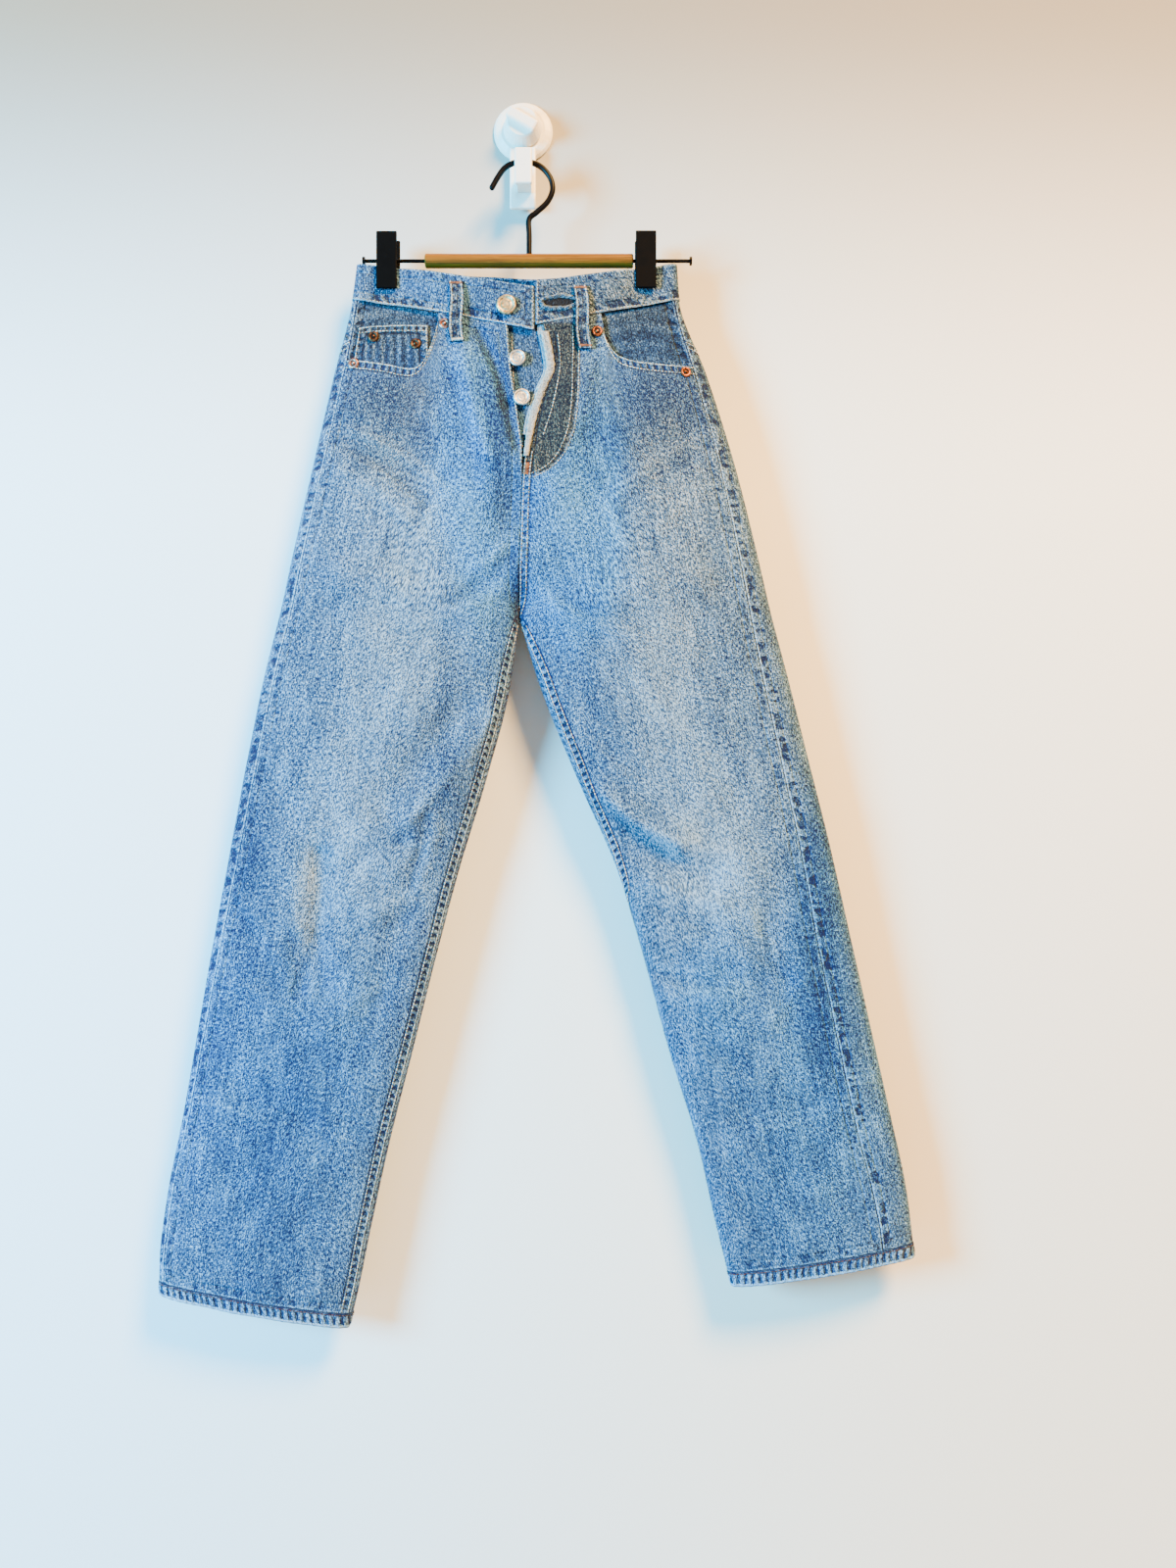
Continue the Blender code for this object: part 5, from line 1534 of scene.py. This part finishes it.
def edge_run(name, edge, away):
    """Points and normals of a piece a set distance in from one of its edges."""
    grids = PANELS[name]
    if edge in ("top", "bottom"):
        grids = [np.swapaxes(grid, 0, 1) for grid in grids]
    if edge in ("right", "bottom"):
        grids = [grid[:, ::-1] for grid in grids]
    run = grid_lengths(grids[0])[0]
    column = np.clip((run < away).sum(axis=1), 1, run.shape[1] - 1)
    row = np.arange(len(run))
    before, after = run[row, column - 1], run[row, column]
    share = ((away - before) / (after - before))[:, None]
    return [grid[row, column - 1] * (1 - share) + grid[row, column] * share for grid in grids]


def sew(thread, points, normals):
    """A row of stitches along a path: their middles, directions, normals and half lengths."""
    run = lengths(points)
    count = max(1, int(run[-1] / STITCH_PITCH))
    at = (np.arange(count) + 0.5) * run[-1] / count
    middle = respace(points, run, at)
    way = respace(points, run, at + STITCH_LONG / 3) - respace(points, run, at - STITCH_LONG / 3)
    normal = respace(normals, run, at)
    SEWN[thread].append((middle, unit(way), unit(normal), np.full(count, STITCH_LONG / 2)))


def sew_edge(thread, name, edge, *aways, keep=None):
    """Rows of stitches beside one edge of a piece, where keep(points) is true."""
    for away in aways:
        points, normals = edge_run(name, edge, away * MM)
        if keep is not None:
            kept = keep(points)
            points, normals = points[kept], normals[kept]
        sew(thread, points, normals)


def cloth_normal(face, x, z, inset):
    """The outward normal of the cloth, from its slopes over 2 mm to each side."""
    near = 2 * MM
    across = cloth(face, x + near, z, inset) - cloth(face, x - near, z, inset)
    down = cloth(face, x, z - near, inset) - cloth(face, x, z + near, inset)
    normal = unit(np.cross(across, -down))
    return normal if face == "front" else -normal


def sew_line(thread, face, corners, inset=0.0):
    """A row of stitches on the front or back, on a smooth line through (x, z) corners."""
    line = smooth_route(corners, 10) * MM
    points = cloth(face, line[:, 0], line[:, 1], inset)
    sew(thread, points, cloth_normal(face, line[:, 0], line[:, 1], inset))


def bartack(thread, face, x, z, slope, long, wide, inset=0.0):
    """A dense bar of stitches: long along its slope in degrees, each stitch wide."""
    count = int(long / TACK_PITCH)
    away = (np.arange(count) / (count - 1) - 0.5) * long * MM
    turn = math.radians(slope)
    at_x, at_z = x * MM + away * math.cos(turn), z * MM + away * math.sin(turn)
    middle = cloth(face, at_x, at_z, inset)
    normal = cloth_normal(face, at_x, at_z, inset)
    bar = np.array((math.cos(turn), 0.0, math.sin(turn)))
    lean = TACK_ZIGZAG * bar * (-1.0) ** np.arange(count)[:, None]
    way = unit(np.cross(normal, bar[None, :]) + lean)
    SEWN[thread].append((middle, way, normal, np.full(count, wide * MM / 2)))


# A stitch's sides, and its stations: the share of the half length, and the radius and the
# lift as shares of the thread's radius. Its light and dark shades are by thread.
STITCH_SIDES = 6
STITCH_STATIONS = ((-1.0, 0.45, -0.5), (-0.55, 1.0, 0.45), (0.55, 1.0, 0.45), (1.0, 0.45, -0.5))
THREAD_SHADES = {
    "cream": (colour(196, 192, 178), colour(112, 114, 110)),
    "rust": (colour(74, 44, 32), colour(40, 28, 28)),
    "orange": (colour(140, 78, 34), colour(80, 42, 22)),
}


def make_threads():
    """Each stitch is a short six-sided capsule whose ends dip into the cloth."""
    angles = np.linspace(0.0, 2 * math.pi, STITCH_SIDES, endpoint=False)[None, :, None]
    for thread, rows in SEWN.items():
        middle, way, normal, half = (np.concatenate(parts) for parts in zip(*rows))
        side = unit(np.cross(way, normal))
        circle = side[:, None] * np.cos(angles) + normal[:, None] * np.sin(angles)
        rings = []
        for along, radius, lift in STITCH_STATIONS:
            centre = middle + way * half[:, None] * along + normal * lift * THREAD_RADIUS
            rings.append(centre[:, None] + circle * radius * THREAD_RADIUS)
        points = np.stack(rings, axis=1)
        first = np.arange(len(middle))[:, None, None] * len(STITCH_STATIONS) * STITCH_SIDES
        ring = np.arange(len(STITCH_STATIONS) - 1)[None, :, None] * STITCH_SIDES
        a = np.arange(STITCH_SIDES)[None, None, :]
        b = (a + 1) % STITCH_SIDES
        low, high = first + ring, first + ring + STITCH_SIDES
        quads = np.stack([low + a, high + a, high + b, low + b], axis=-1).reshape(-1, 4)
        base = first[:, 0, :]
        top = base + (len(STITCH_STATIONS) - 1) * STITCH_SIDES
        caps = np.concatenate([base + np.arange(STITCH_SIDES), top + np.arange(STITCH_SIDES)[::-1]])
        mesh = bpy.data.meshes.new("stitching_" + thread)
        mesh.from_pydata(points.reshape(-1, 3).tolist(), [], quads.tolist() + caps.tolist())
        material = thread_material(thread, *THREAD_SHADES[thread])
        new_object("stitching_" + thread, mesh, material)


def thread_material(name, light, dark):
    """Cotton thread, worn in places, with a fine twist."""
    material, graph, shader = new_material(name + "_thread", light, 0.8)
    place = object_place(graph)
    worn = graph.step(graph.noise(place, (160.0,) * 3, 2.0), 0.36, 0.66)
    graph.feed(shader.inputs["Base Color"], graph.mix(worn, dark, light))
    add_bump(graph, shader, graph.math("MULTIPLY", graph.noise(place, (2600.0,) * 3), 0.12 * MM))
    return material


def between(top, bottom):
    """A test of whether points lie between two levels under the waist seam."""

    def keep(points):
        level = WAIST_Z - points[:, 2]
        return (level > top) & (level < bottom)

    return keep


def in_mouth(points):
    return np.abs(points[:, 0]) > 72 * MM


# Bartacks on the belt loops' ends: the thread, and the middle as x and z in millimetres.
LOOP_TACKS = (
    ("orange", -56.2, -155.8),
    ("orange", 51.8, -160.0),
    ("cream", -54.4, -205.4),
    ("orange", 56.4, -211.0),
)


def sew_edges():
    """Rows of stitches beside the pieces' edges, at distances in millimetres."""
    far = 1.0
    for side in ("right", "left"):
        sew_edge("cream", "front_" + side, "top", 1.4, 7.4, keep=in_mouth)
        sew_edge("cream", "front_" + side, "right", 1.3, 7.2, keep=between(FORK + 6 * MM, far))
        sew_edge("cream", "back_" + side, "top", 1.4, 6.6)
        sew_edge("rust", "hem_" + side, "top", 2.0)
        for edge in ("left", "right", "bottom"):
            sew_edge("cream", "back_pocket_" + side, edge, 1.4, 6.4)
        sew_edge("cream", "back_pocket_" + side, "top", 11.0, 13.5)
    sew_edge("cream", "front_right", "right", 1.3, keep=between(-far, 120 * MM))
    sew_edge("cream", "front_left", "right", 1.3, 6.2, keep=between(106 * MM, FORK))
    sew_edge("cream", "back_left", "right", 1.4, 6.6, keep=between(-far, FORK))
    sew_edge("cream", "yoke_left", "right", 1.4, 6.6)
    sew_edge("cream", "waistband", "bottom", 1.6)
    sew_edge("cream", "coin_pocket", "top", 1.4, 5.6)
    for edge in ("left", "right"):
        sew_edge("cream", "waistband", edge, 1.8)
        sew_edge("cream", "coin_pocket", edge, 1.6)
        for number in range(1, len(LOOPS) + 1):
            sew_edge("cream", "belt_loop_" + str(number), edge, 1.7)


def sew_fly():
    """The fly's two curved rows, the rows inside it, and the bartack at its end."""
    inner_row = []
    for x, z in FLY_CURVE:
        inward = FLY_DOUBLE * min(1.0, x / FLY_DOUBLE_FROM)
        inner_row.append((x - inward, z + FLY_DOUBLE_DROP * (50.0 - x)))
    sew_line("cream", "front", FLY_CURVE)
    sew_line("cream", "front", inner_row)
    sew_line("cream", "front", ((32.5, -200.0), (34.5, -228.0), (28.5, -262.0), (20.0, -290.0)))
    sew_line("cream", "front", ((-8.0, -200.0), (-4.5, -262.0), (2.0, -300.0)), 2 * (WALL + UNDER_GAP))
    bartack("orange", "front", 5.7, -319.0, 80.0, 9.0, 5.0)


def sew_jeans():
    sew_edges()
    sew_fly()
    on_loops = -BAND_PROUD - LAYER_GAP - WALL - 1.1 * MM
    for thread, x, z in LOOP_TACKS:
        bartack(thread, "front", x, z, 0.0, 10.0, 2.4, on_loops)


GRIME = colour(20, 16, 18)


def metal_material(name, shine, dull, roughness, dirt=0.75):
    """Worn cast metal: slow patches between two shades, fine pits, and a ring of dirt."""
    material, graph, shader = new_material(name, shine, roughness, 1.0)
    place = object_place(graph)
    patches = graph.step(graph.noise(place, (420.0,) * 3, 3.0), 0.38, 0.62)
    worn = graph.mix(patches, dull, shine)
    share = graph.add("ShaderNodeAttribute", attribute_name=SHARE_LAYER).outputs["Fac"]
    grime = graph.math("MULTIPLY", graph.step(share, 0.2, 0.34), graph.step(share, 0.5, 0.64, 1.0, 0.0))
    graph.feed(shader.inputs["Base Color"], graph.mix(graph.math("MULTIPLY", grime, dirt), worn, GRIME))
    graph.feed(shader.inputs["Roughness"], graph.step(patches, 0.0, 1.0, roughness + 0.2, roughness))
    add_bump(graph, shader, graph.math("MULTIPLY", graph.noise(place, (1600.0,) * 3, 2.0), 0.15 * MM))
    return material


def wood_material():
    """Turned light wood: grain streaks that run along X."""
    material, graph, shader = new_material("bar_wood", colour(130, 90, 44), 0.6)
    shader.inputs["Specular IOR Level"].default_value = 0.15
    place = object_place(graph)
    streak = graph.noise(place, (14.0, 420.0, 420.0), 4.0)
    fine = graph.noise(place, (60.0, 1500.0, 1500.0), 2.0)
    tone = graph.mix(graph.step(streak, 0.3, 0.7), colour(86, 50, 2), colour(120, 74, 5))
    graph.feed(shader.inputs["Base Color"], graph.mix(graph.step(fine, 0.55, 0.75), tone, colour(64, 38, 8)))
    add_bump(graph, shader, graph.math("MULTIPLY", fine, 0.1 * MM))
    return material


def moulded_material(name, base, roughness, grain, shine):
    """Painted or moulded stuff: a faint grain, and a slow change of gloss."""
    material, graph, shader = new_material(name, base, roughness)
    shader.inputs["Specular IOR Level"].default_value = shine
    place = object_place(graph)
    slow = graph.noise(place, (90.0,) * 3, 2.0)
    graph.feed(shader.inputs["Roughness"], graph.step(slow, 0.3, 0.7, roughness - 0.06, roughness + 0.08))
    add_bump(graph, shader, graph.math("MULTIPLY", graph.noise(place, (1300.0,) * 3, 2.0), grain))
    return material


def add_solid(name, rings, material, node, shares=None):
    """A closed solid from rings of points, the same number in each, that stands for a node."""
    count, sides = rings.shape[:2]
    a = np.arange(sides)[None, :]
    b = (a + 1) % sides
    low = np.arange(count - 1)[:, None] * sides
    high = low + sides
    quads = np.stack([low + a, low + b, high + b, high + a], axis=-1)
    caps = [list(range(sides))[::-1], list(range((count - 1) * sides, count * sides))]
    mesh = bpy.data.meshes.new(name)
    mesh.from_pydata(rings.reshape(-1, 3).tolist(), [], quads.reshape(-1, 4).tolist() + caps)
    if shares is not None:
        values = np.repeat(shares, sides).astype(np.float32)
        mesh.attributes.new(SHARE_LAYER, "FLOAT", "POINT").data.foreach_set("value", values)
    obj = new_object(name, mesh, material)
    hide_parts(node)


TUBE_SIDES = 20
TUBE_END_RINGS = 5


def make_tube(name, path, radius, material, node):
    """A round-ended rod of one radius along a path that lies in a plane of constant y."""
    way = unit(np.gradient(path, axis=0))
    dome = np.sin(np.linspace(0.0, math.pi / 2, TUBE_END_RINGS))[:, None]
    shrink = np.sqrt(1.001 - dome**2)
    start = path[:1] - way[:1] * radius * dome[::-1]
    end = path[-1:] + way[-1:] * radius * dome
    middles = np.concatenate([start, path[1:-1], end])
    size = radius * np.concatenate([shrink[::-1], np.ones((len(path) - 2, 1)), shrink])
    first, last = (np.repeat(one, TUBE_END_RINGS, axis=0) for one in (way[:1], way[-1:]))
    lift = np.array((0.0, -1.0, 0.0))
    side = np.cross(np.concatenate([first, way[1:-1], last]), lift)
    angle = np.linspace(0.0, 2 * math.pi, TUBE_SIDES, endpoint=False)[None, :, None]
    around = side[:, None] * np.cos(angle) + lift * np.sin(angle)
    add_solid(name, (middles[:, None] + around * size[:, None])[:, ::-1], material, node)


# Half sections of the fasteners: the share of the radius, and of the half thickness.
BUTTON_PROFILE = (
    (0.0, -1.0),
    (0.94, -1.0),
    (1.0, -0.5),
    (1.0, 0.35),
    (0.94, 0.85),
    (0.84, 0.95),
    (0.76, 0.75),
    (0.7, 0.3),
    (0.62, 0.15),
    (0.5, 0.28),
    (0.44, 0.5),
    (0.36, 0.3),
    (0.18, 0.42),
    (0.0, 0.48),
)
RIVET_PROFILE = (
    (0.0, -1.0),
    (0.92, -1.0),
    (1.0, -0.6),
    (1.0, 0.1),
    (0.9, 0.5),
    (0.72, 0.72),
    (0.54, 0.5),
    (0.42, 0.1),
    (0.34, 0.0),
    (0.28, 0.5),
    (0.2, 0.95),
    (0.0, 1.0),
)


def turn_solid(node, profile, radius, half_thick, material, slot):
    """A round fastener on the cloth: its profile turned about the cloth's own normal."""
    low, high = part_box(node)
    middle = (np.array(low) + np.array(high)) / 2
    normal = cloth_normal("front", middle[0:1], middle[2:3], 0.0)[0]
    side = unit(np.cross(normal, (0.0, 0.0, 1.0)))
    lift = np.cross(normal, side)
    out = np.array(profile)[:, :1, None] * radius
    rise = np.array(profile)[:, 1:, None] * half_thick
    angle = np.linspace(0.0, 2 * math.pi, 48, endpoint=False)[None, :, None]
    dent = 1 + 0.012 * np.sin(3 * angle + middle[0] * 900) + 0.01 * np.sin(7 * angle)
    out = np.maximum(out, 0.02 * radius)
    rings = middle + (side * np.cos(angle) + lift * np.sin(angle)) * out * dent + normal * rise
    add_solid(node + "_turned", rings, material, node, np.array(profile)[:, 0])


# The wire hook's route as x and z in millimetres, from the bar to its free end.
WIRE_ROUTE = (
    (6.8, -123.5),
    (6.8, -106.5),
    (6.8, -92.7),
    (13.8, -86),
    (23, -77.1),
    (27.4, -66.7),
    (25.6, -56.5),
    (18.8, -47.6),
    (10.3, -43),
    (1.7, -42.2),
    (-7, -43),
    (-14.8, -47.4),
    (-20.6, -55),
    (-26, -64.5),
)
WIRE_RADIUS = 2.5 * MM
# Radius and half thickness of each kind of fastener.
WAIST_BUTTON = (8.6 * MM, 1.5 * MM)
FLY_BUTTON = (7.3 * MM, 1.4 * MM)
RIVET = (4.7 * MM, 1.2 * MM)
RIVET_SHADES = ("pink", "pink", "brown", "brown", "orange", "orange")


def make_hardware():
    """The buttons, rivets and wire hook, in finer shapes than the solids'."""
    silver = metal_material("silver_button", colour(212, 212, 208), colour(140, 142, 144), 0.42, 0.2)
    gold = metal_material("gold_button", colour(212, 196, 156), colour(140, 116, 78), 0.4, 0.2)
    turn_solid("waistband_button", BUTTON_PROFILE, *WAIST_BUTTON, gold, "button_metal")
    for number in (1, 2):
        turn_solid("fly_button_" + str(number), BUTTON_PROFILE, *FLY_BUTTON, silver, "button_metal")
    coppers = {
        "pink": metal_material("pink_copper", colour(196, 140, 124), colour(110, 62, 50), 0.4),
        "brown": metal_material("brown_copper", colour(112, 74, 50), colour(46, 30, 24), 0.45),
        "orange": metal_material("orange_copper", colour(142, 84, 52), colour(70, 38, 24), 0.42),
    }
    for number, shade in enumerate(RIVET_SHADES, 1):
        turn_solid("rivet_" + str(number), RIVET_PROFILE, *RIVET, coppers[shade], "rivet_copper")
    low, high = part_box("hanger_hook")
    route = smooth_route(WIRE_ROUTE, 9) * MM
    path = np.stack([route[:, 0], np.full(len(route), (low[1] + high[1]) / 2), route[:, 1]], axis=-1)
    wire = moulded_material("hook_wire", colour(4, 4, 6), 0.4, 0.03 * MM, 0.1)
    make_tube("hanger_wire", path, WIRE_RADIUS, wire, "hanger_hook")


def finish_hardware():
    """Materials of the solids that stay as the frame has them."""
    finishes = {
        "hanger_bar": wood_material(),
        "hanger_rod": moulded_material("black_wire", colour(3, 3, 4), 0.4, 0.03 * MM, 0.08),
        "clip": moulded_material("black_plastic", colour(2, 3, 4), 0.6, 0.08 * MM, 0.03),
        "wall": moulded_material("white_plastic", colour(230, 228, 220), 0.32, 0.02 * MM, 0.5),
    }
    for node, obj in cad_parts.items():
        for start, material in finishes.items():
            if node.startswith(start):
                obj.data.materials.clear()
                obj.data.materials.append(material)


# The camera, with its focal length in the pixels of the photo's height.
CAMERA_AT = (0.0587, -1.068, -0.5905)
SENSOR = 36.0
FOCAL_PIXELS = 1201.0
PHOTO_TALL = 1600.0

# The stage: a wall just behind the hook, a floor, and how far they reach.
WALL_Y = 0.0005
FLOOR_Z = -1.45
REACH = 4.0

# Light: where each lamp stands, its size, power and tint, and what they all aim at.
AIM = (0.0, 0.0, -0.6)
LAMPS = {
    "warm_key": ((1.25, -1.7, 1.67), 0.95, 585.0, (1.0, 0.56, 0.2)),
    "cool_side": ((-1.9, -1.35, -0.3), 0.9, 375.0, (0.07, 0.6, 1.0)),
}
ROOM_TINT = (0.84, 0.94, 1.0, 1.0)
ROOM_STRENGTH = 0.09


def plain_material(name, base, roughness):
    """A painted surface whose shade drifts slowly by three hundredths."""
    material, graph, shader = new_material(name, base, roughness)
    place = object_place(graph)
    slow = graph.noise(place, (2.2,) * 3, 3.0)
    shade = tuple(value * 0.97 for value in base[:3]) + (1.0,)
    graph.feed(shader.inputs["Base Color"], graph.mix(slow, shade, base))
    return material, graph, shader


def make_stage():
    """A wall that is seen only from its front and carries painted light, and a floor under the garment."""
    material, graph, shader = plain_material("wall_painted_light", colour(232, 234, 232), 0.8)
    across, _, up = graph.split(object_place(graph))
    # Painted light: the wall is painted cooler to the left and warmer to the right, as the cool and warm lamps
    # tint it.
    painted_light = graph.mix(graph.step(across, -0.5, 0.5), colour(212, 230, 242), colour(238, 232, 218))
    # Painted shade: the wall is painted darker towards the top.
    painted_light = graph.mix(graph.step(up, -0.35, 0.16), painted_light, colour(122, 114, 98))
    graph.feed(shader.inputs["Base Color"], painted_light)
    clear = graph.add("ShaderNodeBsdfTransparent")
    seen = graph.add("ShaderNodeMixShader")
    graph.feed(seen.inputs[0], graph.add("ShaderNodeNewGeometry").outputs["Backfacing"])
    graph.feed(seen.inputs[1], shader.outputs[0])
    graph.feed(seen.inputs[2], clear.outputs[0])
    graph.feed(material.node_tree.nodes["Material Output"].inputs[0], seen.outputs[0])
    low, high, far = FLOOR_Z, REACH, REACH
    wall = [(x, WALL_Y, z) for x, z in ((-far, low), (far, low), (far, high), (-far, high))]
    add_stage("wall_backdrop", wall, material)
    floor = [(x, y, low) for x, y in ((-far, -far), (far, -far), (far, far), (-far, far))]
    add_stage("floor", floor, plain_material("floor_paint", colour(150, 148, 144), 0.7)[0])


def add_stage(name, corners, material):
    """One face of the stage, which isn't part of the object."""
    mesh = bpy.data.meshes.new(name)
    mesh.from_pydata(corners, [], [(0, 1, 2, 3)])
    obj = bpy.data.objects.new(name, mesh)
    bpy.context.scene.collection.objects.link(obj)
    mesh.materials.append(material)


def make_camera():
    camera = bpy.data.cameras.new("camera")
    camera.sensor_width = SENSOR
    camera.lens = SENSOR * FOCAL_PIXELS / PHOTO_TALL
    obj = bpy.data.objects.new("camera", camera)
    bpy.context.scene.collection.objects.link(obj)
    obj.location = CAMERA_AT
    obj.rotation_euler = (math.pi / 2, 0.0, 0.0)
    bpy.context.scene.camera = obj


def area_light(name, place, size, power, tint):
    light = bpy.data.lights.new(name, "AREA")
    light.shape = "DISK"
    light.size = size
    light.energy = power
    light.color = tint
    obj = bpy.data.objects.new(name, light)
    bpy.context.scene.collection.objects.link(obj)
    obj.location = place
    way = np.array(AIM) - np.array(place)
    obj.rotation_euler = Vector(way).to_track_quat("-Z", "Y").to_euler()


def make_lights():
    """A warm light from the upper right and a cool one from the left, over a soft room."""
    world = bpy.data.worlds.new("soft_room")
    world.use_nodes = True
    bpy.context.scene.world = world
    background = world.node_tree.nodes["Background"]
    background.inputs["Color"].default_value = ROOM_TINT
    background.inputs["Strength"].default_value = ROOM_STRENGTH
    for name, settings in LAMPS.items():
        area_light(name, *settings)


make_camera()
make_lights()
make_stage()
make_jeans()
sew_jeans()
make_threads()
make_hardware()
finish_hardware()
